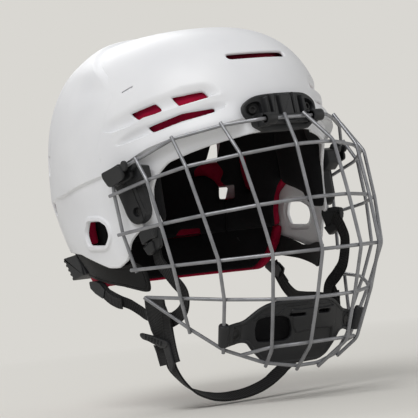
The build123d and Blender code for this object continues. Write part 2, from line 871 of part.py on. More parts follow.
def cup_pad():
    body = cup_shape(cup_pad_outline, -cup_pad_thickness - seat_gap, -seat_gap, cup_corner)
    return cup_placed(body)


def flat_strap(line, middle_x, width, thickness):
    """A ribbon seen edge-on from the front that follows a bent line."""
    points = [(0, y, z) for y, z in line]
    path = wire_path(points, fitted_bends(points, strap_bend), range(len(points)))
    start = path @ 0
    section = Plane(origin=start, x_dir=(1, 0, 0), z_dir=path % 0) * Rectangle(thickness, width)
    return sweep(section, path=path).translate((-middle_x, 0, 0))


def slab(outline, middle_x, thickness, corner):
    return side_prism(outline, corner, -middle_x - thickness / 2, -middle_x + thickness / 2)


def chin_ribbon(width, thickness):
    """The hanging band as a plain ribbon of the given width and thickness."""
    top = strap_axis_z + band_top
    points = [(-chin_band_half, 0, top)]
    points = points + [(x, 0, z) for x, z in chin_band_line]
    points = points + [(chin_band_half, 0, top)]
    path = wire_path(points, fitted_bends(points, chin_band_bend), range(len(points)))
    section = Plane(origin=path @ 0, x_dir=(0, 1, 0), z_dir=path % 0)
    section = section * Rectangle(width, thickness)
    return sweep(section, path=path).translate((0, strap_axis_y, 0))


def chin_strap():
    """A band that hangs from both strap joints and passes below the chin."""
    band = chin_ribbon(chin_band_width, web_thickness)
    hole = Plane.YZ * Pos(strap_axis_y, strap_axis_z) * Circle(pin_radius + rotation_clearance)
    return band - extrude(hole, amount=reach, both=True)


def chin_buckle():
    """A flat buckle that the hanging band runs through on the wearer's right."""
    body = slab(buckle_side, chin_band_half, buckle_thick, vent_corner)
    wide = chin_band_width + 2 * buckle_slot_gap
    body = body - chin_ribbon(wide, web_thickness + 2 * buckle_slot_gap)
    return max(body.solids(), key=lambda solid: solid.volume)


def strap_pin():
    """A rivet that joins the hanging strap to the side straps."""
    place = Plane.YZ * Pos(strap_axis_y, strap_axis_z)
    core = extrude(place * Circle(pin_radius), amount=pin_half, both=True)
    head = extrude(place * Circle(pin_head_radius), amount=pin_head, dir=(-1, 0, 0))
    tail = extrude(place * Circle(pin_head_radius), amount=pin_head, dir=(1, 0, 0))
    body = core + head.translate((-pin_half, 0, 0)) + tail.translate((pin_half, 0, 0))
    return body.translate((-pin_x, 0, 0))


def neck_band():
    body = collar(band_out, band_in, band_side, band_corner)
    return body & side_prism(band_side, band_corner, -reach, 0)


def nape_block():
    body = Box(nape_block_long, nape_block_thick, nape_block_high)
    pitch = nape_block_high / tooth_count
    for i in range(tooth_count):
        tooth = Cylinder(tooth_radius, nape_block_long).rotate(Axis.Y, quarter_turn)
        height = (i + 1 / 2) * pitch - nape_block_high / 2
        body = body + tooth.translate((0, nape_block_thick / 2, height))
    body = body.rotate(Axis.Z, nape_turn)
    body = body.translate((-nape_block_x, nape_block_y, nape_block_z))
    body = body - cone(band_out + seat_gap)
    return max(body.solids(), key=lambda solid: solid.volume)


def paired(pieces, name, right):
    pieces[name + "_right"] = right
    pieces[name + "_left"] = mirror(right, about=Plane.YZ)


def build_all():
    pieces = build_cage()
    pieces["front_shell"] = front_shell()
    pieces["rear_shell"] = rear_shell()
    pieces["front_foam"] = front_foam()
    pieces["rear_foam"] = rear_foam()
    pieces["brow_pad"] = pad(brow_pad_side, -brow_pad_half, brow_pad_half)
    pieces["crown_pad"] = pad(crown_pad_side, -crown_pad_half, crown_pad_half)
    pieces["nape_pad"] = pad(nape_pad_side, -nape_pad_half, nape_pad_half)
    paired(pieces, "temple_pad", pad(temple_pad_side, -reach, -temple_pad_inner))
    paired(pieces, "side_pad", pad(side_pad_side, -reach, -side_pad_inner))
    pieces["mount_plate"] = mount_plate()
    pieces["mount_screws"] = both_sides(mount_screw())
    pieces["mount_clips"] = both_sides(hinge_clip())
    paired(pieces, "side_plate", clip_plate())
    paired(pieces, "side_latch", side_latch())
    pieces["side_screws"] = both_sides(side_screw())
    pieces["chin_cup"] = chin_cup()
    pieces["cup_pad"] = cup_pad()
    pieces["cup_grips"] = both_sides(cup_grip())
    pieces["cup_snaps"] = both_sides(cup_snap())
    hole = Plane.YZ * Pos(strap_axis_y, strap_axis_z) * Circle(pin_radius + rotation_clearance)
    hole = extrude(hole, amount=reach, both=True)
    front_line = flat_strap(front_strap_line, front_strap_x, web_width, web_thickness) - hole
    paired(pieces, "front_strap", front_line)
    rear_line = flat_strap(rear_strap_line, rear_strap_x, rear_strap_width, web_thickness) - hole
    paired(pieces, "rear_strap", rear_line)
    paired(pieces, "strap_tab", slab(tab_side, tab_x, web_thickness, tab_corner) - hole)
    wide = web_width + 2 * buckle_slot_gap
    thick = web_thickness + 2 * buckle_slot_gap
    passage = flat_strap(front_strap_line, front_strap_x, wide, thick)
    anchor = slab(anchor_side, anchor_x, anchor_thick, vent_corner) - passage
    paired(pieces, "strap_anchor", anchor)
    wide = rear_strap_width + 2 * buckle_slot_gap
    passage = flat_strap(rear_strap_line, rear_strap_x, wide, thick)
    slider = slab(slider_side, rear_strap_x, slider_thick, vent_corner) - passage
    paired(pieces, "strap_slider", slider)
    pieces["chin_strap"] = chin_strap()
    pieces["strap_pins"] = both_sides(strap_pin())
    pieces["chin_buckle"] = chin_buckle()
    paired(pieces, "neck_band", neck_band())
    pieces["neck_liner"] = collar(liner_out, liner_in, liner_side)
    pieces["neck_pad"] = collar(neck_pad_out, neck_pad_in, neck_pad_side)
    paired(pieces, "nape_block", nape_block())
    return pieces


def main():
    os.makedirs("parts", exist_ok=True)
    for name, shape in build_all().items():
        export_step(shape, f"parts/{name}.step")


if __name__ == "__main__":
    main()
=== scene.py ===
import math
import bmesh
import bpy
import numpy as np
from mathutils import Matrix, Vector
from mathutils.kdtree import KDTree


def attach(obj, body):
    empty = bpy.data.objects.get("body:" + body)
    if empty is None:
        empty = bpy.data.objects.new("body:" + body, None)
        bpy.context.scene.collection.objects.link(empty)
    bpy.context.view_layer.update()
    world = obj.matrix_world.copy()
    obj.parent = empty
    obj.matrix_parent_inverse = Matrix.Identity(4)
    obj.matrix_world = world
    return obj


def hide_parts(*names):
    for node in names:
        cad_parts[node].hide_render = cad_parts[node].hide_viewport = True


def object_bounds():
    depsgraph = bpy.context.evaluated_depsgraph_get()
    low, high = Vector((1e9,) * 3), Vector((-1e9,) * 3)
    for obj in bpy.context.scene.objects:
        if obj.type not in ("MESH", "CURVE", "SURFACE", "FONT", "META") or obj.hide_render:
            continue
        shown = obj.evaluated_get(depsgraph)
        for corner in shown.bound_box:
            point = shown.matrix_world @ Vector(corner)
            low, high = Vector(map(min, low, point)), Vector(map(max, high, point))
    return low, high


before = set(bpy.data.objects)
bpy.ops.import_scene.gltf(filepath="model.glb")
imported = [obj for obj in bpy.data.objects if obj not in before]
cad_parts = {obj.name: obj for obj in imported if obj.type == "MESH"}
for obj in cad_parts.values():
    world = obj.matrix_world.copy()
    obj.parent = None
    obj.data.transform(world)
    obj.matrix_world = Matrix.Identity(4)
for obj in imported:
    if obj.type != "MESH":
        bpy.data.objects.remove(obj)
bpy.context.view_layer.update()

# Ice hockey helmet with a wire face cage. Lengths are millimetres, and MM turns them
# into metres. The face looks along -Y and the wearer's left is +X.

MM = 0.001

# The plain dome that the shells, foams and pads follow: a half width, a front and a rear
# depth about MID_Y, a height above MID_Z, and how the rear wall tucks in below it.
HALF_WIDTH = 98.0
FRONT_DEPTH = 122.0
REAR_DEPTH = 148.0
HEIGHT = 121.0
MID_Y = 9.0
MID_Z = -20.0
POWER = 2.9
FOOT_Z = -100.0
FOOT_SHARE = 0.975
REAR_WALL_Z = [-124.0, -100.0, -62.0, -40.0, -20.0]
REAR_WALL_SHARE = [0.646, 0.71, 0.811, 0.919, 1.0]
SHELL_WALL = 2.5


# dome maths

def quads(rows, count, first=0, wrap=True):
    """Four-sided faces between rows of points, each as near, near next, far next, far."""
    out = []
    for k in range(rows - 1):
        a = first + k * count
        for j in range(count if wrap else count - 1):
            n = (j + 1) % count
            out.append([a + j, a + n, a + count + n, a + count + j])
    return out


def halved(faces):
    """Two triangles for each four-sided face."""
    return [half for a, b, c, d in faces for half in ([a, b, c], [a, c, d])]


def ring(z):
    """How wide the dome is at a height, as a share of its widest ring."""
    rise = np.clip((z - MID_Z) / HEIGHT, 0, 1)
    upper = (1 - rise ** POWER) ** (1 / POWER)
    taper = 1 - (1 - FOOT_SHARE) * np.clip((MID_Z - z) / (MID_Z - FOOT_Z), 0, 1.2)
    return upper * taper


def rear_depth(z):
    """Depth of the rear half at a height: below the middle it tucks in to the neck."""
    share = np.interp(z, REAR_WALL_Z, REAR_WALL_SHARE)
    return REAR_DEPTH * share * np.where(z < MID_Z, 1 / ring(z), 1)


def depth(y, z):
    """Depth of the dome's front or rear half, by which half a point is in."""
    return np.where(y < MID_Y, FRONT_DEPTH, rear_depth(z))


def side_point(y, z):
    """The point of the dome above a side-view point, on the wearer's left."""
    room = ring(z) ** 2 - ((y - MID_Y) / depth(y, z)) ** 2
    x = HALF_WIDTH * np.sqrt(np.clip(room, 0, None))
    return np.stack([x, y, z], -1), room >= 0


def turn_point(turn, z):
    """The point of the dome at an azimuth from the face, in degrees, and a height."""
    a = np.radians(turn)
    y = -np.cos(a)
    b = np.where(y < 0, FRONT_DEPTH, rear_depth(z + 0 * a))
    q = ring(z)
    return np.stack([HALF_WIDTH * q * np.sin(a), MID_Y + b * q * y, z + 0 * a], -1)


def front_point(x, z):
    """The point of the dome's front half behind a front-view point."""
    room = np.clip(ring(z) ** 2 - (x / HALF_WIDTH) ** 2, 0, None)
    return np.stack([x, MID_Y - FRONT_DEPTH * np.sqrt(room), z], -1)


def flat_point(x, y):
    return np.stack([x, y, 0 * x], -1)


def turn_of(p):
    """Azimuth from the face in degrees, 0 at the front and 180 at the back."""
    x = np.abs(p[:, 0]) / HALF_WIDTH
    y = (p[:, 1] - MID_Y) / depth(p[:, 1], p[:, 2])
    return np.degrees(np.arctan2(x, -y))


def dome_normal(p):
    """Outward directions of the dome at points on it."""
    x = p[:, 0] / HALF_WIDTH
    y = (p[:, 1] - MID_Y) / depth(p[:, 1], p[:, 2])
    rho = np.hypot(x, y)
    rise = np.clip((p[:, 2] - MID_Z) / HEIGHT, 0, 1)
    grow = np.maximum(rho, 1e-4) ** (POWER - 2)
    n = np.stack([x / HALF_WIDTH * grow, y / depth(p[:, 1], p[:, 2]) * grow,
                  rise ** (POWER - 1) / HEIGHT], -1)
    return n / np.linalg.norm(n, axis=1, keepdims=True)


def dome_grid(step_deg, step_mm, low_z):
    """Even rows and columns over the whole dome, as points and triangles."""
    angle = np.linspace(math.pi / 2, 0, 3000)
    share = 2 / POWER
    q = np.cos(angle) ** share
    q[0] = 0
    z = MID_Z + HEIGHT * np.sin(angle) ** share
    z = np.append(z, np.linspace(MID_Z - 1, low_z, 60))
    q = np.append(q, ring(z[3000:]))
    run = np.append(0, np.cumsum(np.hypot(np.diff(q) * 118, np.diff(z))))
    rows = int(run[-1] / step_mm)
    at = np.linspace(0, run[-1], rows)
    zs = np.interp(at, run, z)
    qs = np.interp(at, run, q)
    columns = int(360 / step_deg)
    turn = np.arange(columns) / columns * 2 * math.pi
    points = [[0, MID_Y, zs[0]]]
    for k in range(1, rows):
        y = -np.cos(turn)
        b = np.where(y < 0, FRONT_DEPTH, rear_depth(np.full(columns, zs[k])))
        points.extend(np.stack([HALF_WIDTH * qs[k] * np.sin(turn), MID_Y + b * qs[k] * y,
                                np.full(columns, zs[k])], -1).tolist())
    faces = [[0, 1 + (j + 1) % columns, 1 + j] for j in range(columns)]
    faces += halved(quads(rows - 1, columns, 1))
    return np.array(points, float), np.array(faces)


# cutting fields

def inside(px, py, outline):
    """Even-odd test of many points against a closed outline."""
    found = np.zeros(len(px), bool)
    n = len(outline)
    for i in range(n):
        x0, y0 = outline[i]
        x1, y1 = outline[(i + 1) % n]
        if y0 == y1:
            continue
        cross = ((y0 > py) != (y1 > py)) & (px < (x1 - x0) * (py - y0) / (y1 - y0) + x0)
        found ^= cross
    return found


def rounded_outline(outline, radius):
    """Corners of an outline rounded by short quadratic bends."""
    pts = np.array(outline, float)
    if radius <= 0:
        return pts
    out = []
    n = len(pts)
    for i in range(n):
        a, b, c = pts[i - 1], pts[i], pts[(i + 1) % n]
        ra = min(radius, 0.45 * np.linalg.norm(a - b)) / max(np.linalg.norm(a - b), 1e-6)
        rc = min(radius, 0.45 * np.linalg.norm(c - b)) / max(np.linalg.norm(c - b), 1e-6)
        p, q = b + (a - b) * ra, b + (c - b) * rc
        for t in np.linspace(0, 1, 7):
            out.append((1 - t) ** 2 * p + 2 * t * (1 - t) * b + t * t * q)
    return np.array(out)


def dense(points, step, closed):
    """A line filled up with points about a step apart."""
    pts = np.array(points, float)
    if closed:
        pts = np.vstack([pts, pts[:1]])
    out = []
    for a, b in zip(pts[:-1], pts[1:]):
        n = max(1, int(np.linalg.norm(b - a) / step))
        for t in np.arange(n) / n:
            out.append(a + (b - a) * t)
    out.append(pts[-1])
    return np.array(out)


def near(p, curve, reach=60.0):
    """Distance from many points to a dense curve given as points."""
    tree = KDTree(len(curve))
    for i, c in enumerate(curve):
        tree.insert(c, i)
    tree.balance()
    low, high = curve.min(0) - reach, curve.max(0) + reach
    ok = np.all((p > low) & (p < high), axis=1)
    d = np.full(len(p), reach)
    for i in np.nonzero(ok)[0]:
        d[i] = min(reach, tree.find(p[i])[2])
    return d


def mirrored(p):
    """Points folded on to the wearer's left."""
    return np.stack([np.abs(p[:, 0]), p[:, 1], p[:, 2]], -1)


def field(p, u, v, outline, radius, lay, step=0.2, reach=60.0):
    """Signed distance from points to an outline, positive inside. The outline is drawn in a
    chart where the points are at u and v, and lay takes it from there into space."""
    outline = rounded_outline(outline, radius)
    d = near(p, lay(*dense(outline, step, True).T), reach)
    return np.where(inside(u, v, outline), d, -d)


def side_field(p, outline, radius=0.0, on=side_point):
    """Signed distance on a surface to a side-view outline of (y, z) points, mirrored."""
    def lay(y, z):
        curve, ok = on(y, z)
        return bridged(curve[ok])

    return field(mirrored(p), p[:, 1], p[:, 2], outline, radius, lay, 0.25)


def bridged(curve):
    """Fills the jumps of a dense curve and closes it over the middle of the helmet."""
    out = [curve[0]]
    for a, b in zip(curve[:-1], curve[1:]):
        gap = np.linalg.norm(b - a)
        if 0.3 < gap < 12:
            n = int(gap / 0.2)
            for t in np.arange(1, n) / n:
                out.append(a + (b - a) * t)
        out.append(b)
    for c in list(out):
        if c[0] < 12:
            for t in np.arange(0, c[0], 0.2):
                out.append(np.array([t, c[1], c[2]]))
    return np.array(out)


def turn_field(p, outline, radius=0.0):
    """Signed distance on the dome to an outline of (azimuth, height) points, mirrored."""
    return field(mirrored(p), turn_of(p), p[:, 2], outline, radius, turn_point, reach=45.0)


def front_field(p, outline, radius=0.0):
    """Signed distance on the dome to a front-view outline of (x, z) points."""
    d = field(p, p[:, 0], p[:, 2], outline, radius, front_point)
    return np.where(p[:, 1] < 0, d, -np.abs(d))


def flat_field(p, outline, radius=0.0):
    """Signed distance in the flat to an outline."""
    return field(p, p[:, 0], p[:, 1], outline, radius, flat_point)


def line_distance(p, points):
    """Distance on the dome to an open line of (azimuth, height) points, mirrored."""
    return near(mirrored(p), turn_point(*dense(points, 0.2, False).T), 45.0)


def flat_line(p, points):
    """Distance in the flat to an open line."""
    return near(p, flat_point(*dense(points, 0.2, False).T))


def on_chart(points):
    """Points on the dome as (azimuth, height) pairs."""
    p = np.array(points, float)
    return list(zip(turn_of(p).tolist(), p[:, 2].tolist()))


def arch(half):
    """A line on one side, then the same line back on the other side."""
    return half + [(-x, z) for x, z in reversed(half)]


def smooth(low, high, value):
    """A soft step from 0 at low to 1 at high."""
    t = np.clip((value - low) / (high - low), 0, 1)
    return t * t * (3 - 2 * t)


# cut and build

class Sheet:
    """Triangles over a table of points. Its columns are the point, the direction that it is
    lifted along, and named fields. The field called edge is the distance inside the outline."""

    def __init__(self, points, normals, faces, **fields):
        self.data = np.column_stack([points, normals, *fields.values()])
        self.faces = faces
        self.column = {name: 6 + i for i, name in enumerate(fields)}

    def __getitem__(self, name):
        return self.data[:, self.column[name]]

    def cut(self, name, level, snap=0.06):
        """Splits triangles where a field passes a level."""
        data, faces, column = self.data, self.faces, self.column[name]
        f = data[:, column] - level
        f[np.abs(f) < snap] = 0
        data[:, column] = f + level
        sign = np.sign(f)
        s = sign[faces]
        crossed = (s.max(1) > 0) & (s.min(1) < 0)
        made, rows, new = {}, [], []

        def between(a, b):
            key = (a, b) if a < b else (b, a)
            if key not in made:
                t = f[key[0]] / (f[key[0]] - f[key[1]])
                made[key] = len(data) + len(rows)
                rows.append(data[key[0]] * (1 - t) + data[key[1]] * t)
            return made[key]

        for tri in faces[crossed]:
            sg = sign[tri]
            if (sg == 0).any():
                k = int(np.nonzero(sg == 0)[0][0])
                a, b, c = np.roll(tri, -k)
                m = between(b, c)
                new += [[a, b, m], [a, m, c]]
                continue
            k = [i for i in range(3) if sg[i] != sg[i - 1] and sg[i] != sg[i - 2]][0]
            a, b, c = np.roll(tri, -k)
            m, n = between(a, b), between(c, a)
            new += [[a, m, n], [m, b, c], [m, c, n]]
        if rows:
            rows = np.array(rows)
            rows[:, column] = level
            self.data = np.vstack([data, rows])
            self.faces = np.vstack([faces[~crossed], np.array(new)])

    def trim(self, cuts, snap=0.06):
        """Drops what is outside the outline, then cuts each named field at its levels."""
        self.cut("edge", 0.0)
        self.faces = self.faces[self["edge"][self.faces].mean(1) > 0]
        used = np.unique(self.faces)
        index = np.full(len(self.data), -1)
        index[used] = np.arange(len(used))
        self.data, self.faces = self.data[used], index[self.faces]
        for name, levels in cuts.items():
            for level in levels:
                self.cut(name, level, snap)

    def slit(self, line, half):
        """Takes a narrow straight cut out of the sheet, on both sides of the helmet."""
        a, b = np.array(line, float)
        middle, reach = (a + b) / 2, np.linalg.norm(b - a) / 2
        along = (b - a) / np.linalg.norm(b - a)
        across = np.cross(dome_normal(middle[None])[0], along)
        q = mirrored(self.data) - middle
        self.column["across"], self.column["along"] = (self.data.shape[1] + i for i in range(2))
        self.data = np.column_stack([self.data, q @ across, q @ along])
        for name, level in (("across", half), ("across", -half), ("along", reach),
                            ("along", -reach)):
            self.cut(name, level, 0.02)
        u, v = (self[name][self.faces].mean(1) for name in ("across", "along"))
        off = mirrored(self.data[:, :3][self.faces].mean(1)) - middle
        hit = (np.abs(u) < half) & (np.abs(v) < reach)
        self.faces = self.faces[~(hit & (np.linalg.norm(off, axis=1) < 3 * reach))]

    def lifted(self, height):
        return self.data[:, :3] + self.data[:, 3:6] * np.reshape(height, (-1, 1))

    def skin(self, high, low):
        """A closed skin between two heights above the sheet."""
        return walled(self.lifted(high), self.lifted(low), self.faces)


def walled(outer, inner, faces):
    """A closed skin from an outer and an inner sheet of the same triangles."""
    n = len(outer)
    sides = {}
    for a, b, c in faces:
        for e in ((a, b), (b, c), (c, a)):
            if (e[1], e[0]) in sides:
                del sides[(e[1], e[0])]
            else:
                sides[e] = True
    skin = faces.tolist()
    skin += [[a + n, c + n, b + n] for a, b, c in faces]
    skin += [[b, a, a + n, b + n] for a, b in sides]
    return np.vstack([outer, inner]), skin


def solid(name, points, faces, material, sharp=38.0):
    """One object from points in millimetres, smooth but for edges sharper than an angle."""
    mesh = bpy.data.meshes.new(name)
    mesh.from_pydata((np.asarray(points) * MM).tolist(), [], faces)
    mesh.validate()
    mesh.shade_smooth()
    if sharp:
        mesh.set_sharp_from_angle(angle=math.radians(sharp))
    mesh.materials.append(material)
    piece = bpy.data.objects.new(name, mesh)
    bpy.context.collection.objects.link(piece)
    return piece


def fitted(piece, body, slot, *nodes):
    """Says what a piece moves with and the nodes that it stands for. The material slot, slot, is
    not used.
    """
    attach(piece, body)
    if nodes:
        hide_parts(*nodes)
    return piece


def round_over(d, radius):
    """How far a rounded edge drops below its sheet, by distance from the edge."""
    inward = np.clip(radius - d, 0, radius)
    return radius - np.sqrt(np.clip(radius ** 2 - inward ** 2, 0, None))


# materials

# colour inputs and output of a Mix node
MIX_FROM, MIX_TO, MIX_OUT = 6, 7, 2


def linear(code):
    """A colour from an sRGB hex code."""
    out = []
    for i in (0, 2, 4):
        v = int(code[i:i + 2], 16) / 255
        out.append(v / 12.92 if v <= 0.04045 else ((v + 0.055) / 1.055) ** 2.4)
    return (*out, 1.0)


def start_material(name):
    """A new material, its nodes, its surface node and its coordinates."""
    material = bpy.data.materials.new(name)
    material.use_nodes = True
    tree = material.node_tree
    return material, tree, tree.nodes["Principled BSDF"], tree.nodes.new("ShaderNodeTexCoord")


def add(tree, kind, values, links, **settings):
    """A new node, or one that is there, with its input values, its links and its settings."""
    made = tree.nodes.new(kind) if isinstance(kind, str) else kind
    for key, value in settings.items():
        setattr(made, key, value)
    for key, value in values.items():
        made.inputs[key].default_value = value
    for key, source in links.items():
        tree.links.new(source, made.inputs[key])
    return made


def every(size):
    """Scale of a pattern whose marks are about so many millimetres apart."""
    return 1 / (size * MM)


def satin(name, dark, light, rough, grain, depth, drift=55.5, patch=16.7, low=0.3, detail=3.0,
          values=None):
    """A smooth, dull surface. Its colour drifts and its gloss is uneven over the sizes drift
    and patch, and a grain gives it relief. The real grain is too fine to show, so it is
    drawn coarser."""
    material, tree, base, place = start_material(name)
    at = {"Vector": place.outputs["Object"]}
    cloud = add(tree, "ShaderNodeTexNoise", {"Scale": every(drift), "Detail": detail}, at)
    share = add(tree, "ShaderNodeMapRange", {"From Min": low, "From Max": 0.7},
                {"Value": cloud.outputs["Fac"]})
    colour = add(tree, "ShaderNodeMix", {MIX_FROM: linear(dark), MIX_TO: linear(light)},
                 {0: share.outputs["Result"]}, data_type="RGBA")
    patches = add(tree, "ShaderNodeTexNoise", {"Scale": every(patch), "Detail": 3.0}, at)
    gloss = add(tree, "ShaderNodeMapRange", {"To Min": rough[0], "To Max": rough[1]},
                {"Value": patches.outputs["Fac"]})
    fine = add(tree, "ShaderNodeTexNoise", {"Scale": every(grain), "Detail": 2.0}, at)
    relief = add(tree, "ShaderNodeBump", {"Strength": depth, "Distance": 0.2 * MM},
                 {"Height": fine.outputs["Fac"]})
    add(tree, base, values or {}, {
        "Base Color": colour.outputs[MIX_OUT], "Roughness": gloss.outputs["Result"],
        "Normal": relief.outputs["Normal"]})
    return material


def foam(name, dark, light, pore, depth):
    """Closed-cell foam: matt, with pores of a size and slow colour drift. The real pores are
    too fine to show, so they are drawn coarser."""
    material, tree, base, place = start_material(name)
    at = {"Vector": place.outputs["Object"]}
    cloud = add(tree, "ShaderNodeTexNoise", {"Scale": every(33.3), "Detail": 3.0}, at)
    share = add(tree, "ShaderNodeMapRange", {"From Min": 0.3, "From Max": 0.75},
                {"Value": cloud.outputs["Fac"]})
    colour = add(tree, "ShaderNodeMix", {MIX_FROM: linear(dark), MIX_TO: linear(light)},
                 {0: share.outputs["Result"]}, data_type="RGBA")
    pores = add(tree, "ShaderNodeTexVoronoi", {"Scale": every(pore)}, at)
    relief = add(tree, "ShaderNodeBump", {"Strength": depth, "Distance": 0.3 * MM},
                 {"Height": pores.outputs["Distance"]})
    add(tree, base, {"Roughness": 0.9, "Sheen Weight": 0.03, "Specular IOR Level": 0.15},
        {"Base Color": colour.outputs[MIX_OUT], "Normal": relief.outputs["Normal"]})
    return material


def woven(name, dark, light):
    """Woven webbing: ribs across the band from the strap's own UV, with fine threads. Both are
    drawn coarser than the real ones, which are too fine to show."""
    material, tree, base, place = start_material(name)
    flat = add(tree, "ShaderNodeMapping", {"Scale": (every(6.25), every(25.0), 1.0)},
               {"Vector": place.outputs["UV"]})
    ribs = add(tree, "ShaderNodeTexWave", {"Scale": 1.0, "Distortion": 1.5},
               {"Vector": flat.outputs["Vector"]}, bands_direction="X")
    share = add(tree, "ShaderNodeMapRange", {"From Min": 0.2, "From Max": 0.8},
                {"Value": ribs.outputs["Fac"]})
    colour = add(tree, "ShaderNodeMix", {MIX_FROM: linear(dark), MIX_TO: linear(light)},
                 {0: share.outputs["Result"]}, data_type="RGBA")
    threads = add(tree, "ShaderNodeTexNoise", {"Scale": every(0.4), "Detail": 2.0},
                  {"Vector": place.outputs["Object"]})
    low_relief = add(tree, "ShaderNodeBump", {"Strength": 0.6, "Distance": 0.3 * MM},
                     {"Height": ribs.outputs["Fac"]})
    relief = add(tree, "ShaderNodeBump", {"Strength": 0.3, "Distance": 0.2 * MM},
                 {"Height": threads.outputs["Fac"], "Normal": low_relief.outputs["Normal"]})
    add(tree, base, {"Roughness": 0.85, "Sheen Weight": 0.1, "Specular IOR Level": 0.3},
        {"Base Color": colour.outputs[MIX_OUT], "Normal": relief.outputs["Normal"]})
    return material


# injection-moulded polyethylene: a clean white with broad, soft highlights
SHELL = satin("polyethylene_moulded_white", "E0E1E5", "E8E9EC", (0.44, 0.54), 1.11, 0.05,
              values={"Coat Weight": 0.06, "Coat Roughness": 0.25})
# moulded vinyl nitrile foam: matt deep red with small pores
RED = foam("vinyl_nitrile_foam_red", "7A0628", "A80D34", 1.11, 0.35)
# comfort foam with a knitted face: soft, dull black
BLACK_FOAM = foam("knit_faced_foam_black", "101012", "1A1A1C", 1.43, 0.3)
# coated steel wire: a satin grey with a little metal sheen along each bar
WIRE = satin("steel_wire_coated_grey", "85868A", "9C9DA1", (0.3, 0.46), 0.667, 0.12,
             11.1, 3.85, 0.35, 4.0, {"Metallic": 0.55})
# moulded nylon: near black, with a fine grain that dulls its highlights
BLACK = satin("nylon_moulded_black", "17181A", "202124", (0.4, 0.55), 0.714, 0.25)
# black steel of the screws and snaps, smoother than the nylon, and made darker than it as painted
# shade, so that the screw in the side plate's shallow hole shows as a deep shaded hole
SCREW = satin("steel_black_with_painted_shade", "0E0E0F", "161618", (0.4, 0.55), 0.625, 0.1)
# woven polyester: dull black with ribs across the band
WEB = woven("polyester_woven_black", "0C0C0D", "141416")
# moulded polyethylene of the chin cup: dark grey and satin
CUP_FINISH = satin("polyethylene_moulded_dark_grey", "191A1D", "222326", (0.42, 0.55), 0.833,
                   0.2)
# moulded foam of the pad inside the chin cup: matt black
CUP_FOAM = foam("eva_foam_moulded_black", "0E0E10", "18181A", 1.25, 0.25)

# material of each node, by how its name begins; the longest beginning that fits counts
NODE_MATERIALS = {
    "cage_": WIRE, "mount_screws": SCREW, "side_screws": SCREW, "strap_pins": SCREW,
    "cup_snaps": SCREW, "chin_cup": CUP_FINISH, "cup_grips": CUP_FINISH, "cup_pad": CUP_FOAM,
    "mount_": BLACK, "side_plate": BLACK, "side_latch": BLACK, "strap_anchor": BLACK,
    "strap_slider": BLACK, "chin_buckle": BLACK, "nape_block": BLACK,
    "front_shell": SHELL, "rear_shell": SHELL, "front_foam": RED, "rear_foam": RED,
    "brow_pad": BLACK_FOAM, "crown_pad": BLACK_FOAM, "nape_pad": BLACK_FOAM,
    "temple_pad": BLACK_FOAM, "side_pad": BLACK_FOAM, "front_strap": WEB, "rear_strap": WEB,
    "chin_strap": WEB, "neck_band": WEB, "strap_tab": WEB, "neck_liner": RED,
    "neck_pad": BLACK_FOAM,
}
for node_name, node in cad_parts.items():
    match = max((k for k in NODE_MATERIALS if node_name.startswith(k)), key=len)
    node.data.materials.clear()
    node.data.materials.append(NODE_MATERIALS[match])


# shell outlines

# Outlines seen from the side are (y, z) points and hold for both sides of the helmet.
# First the edge of the front shell, then the seam where the rear shell laps over it.
FRONT_SIDE = [
    (-200, 14), (-112, 11.8), (-87, 3.8), (-64, -4), (-53.5, -14), (-50.2, -22), (-49.6, -31),
    (-51, -39), (-54, -47), (-53, -52), (-42, -51.5), (-34, -48), (-25, -34), (-8, -14), (10, -7),
    (18, 12), (6, 45), (17, 69), (60, 92), (70, 99), (75, 200), (-200, 200),
]
SEAM = [
    (50, 200), (50, 110), (47, 97), (37, 91.5), (-5, 68.5), (-18, 50), (-2.5, 13), (-7, -7),
    (-30, -26), (-39, -42), (-41, -51),
]
# what closes the seam behind the ear, and the lower edge of the rear shell with its ear lobe
BEHIND_SEAM = [(-35, -60), (-30, -90), (220, -90), (220, 200)]
LOBE = [
    (-33, -54.5), (-27, -60), (-22, -73), (-12, -78), (0, -77.5), (20, -71), (42, -64.6),
    (75, -62), (220, -62), (220, 200),
]
EAR_HOLE = [(21, -40.4), (5, -41.2), (-4.5, -45.8), (-6.5, -52.4), (-3, -58), (0, -59.8),
            (21.5, -58.4), (25, -49.5)]
# square vent, low window and upright slit at the rear of each side
REAR_VENT = [(91, 16), (104, 17), (104, 2), (93, 1)]
REAR_WINDOW = [(86, -21.5), (97, -21), (98, -30), (88, -31)]
REAR_SLIT = [(84.7, 26.0), (85.5, 12.5)]

# the three vents of each side of the front shell, as (x, y, z) points
VENT_REAR = on_chart([(-87.4, -35.3, 36.8), (-77.3, -56.1, 42.1), (-75.8, -61.4, 36.4),
                      (-86.3, -41.5, 31.5)])
VENT_FRONT = on_chart([(-69.8, -66.8, 44.9), (-52.2, -85.5, 47.1), (-49.6, -90.0, 41.0),
                       (-67.2, -73.6, 37.3)])
VENT_LOW = on_chart([(-83.5, -50.9, 24.2), (-66.8, -76.0, 31.3), (-48.6, -93.1, 32.9),
                     (-48.6, -93.9, 29.7), (-67.8, -76.2, 25.9), (-81.9, -55.5, 20.0)])
# narrow slit above the vents, and the slot near the top of the forehead
SLIT = [(85.3, -26.4, 53.8), (80.9, -35.7, 57.2)]
SLIT_HALF = 0.6
TOP_SLOT_Z = 70.6
TOP_SLOT_HALF = 27.0
TOP_SLOT_HIGH = 2.9

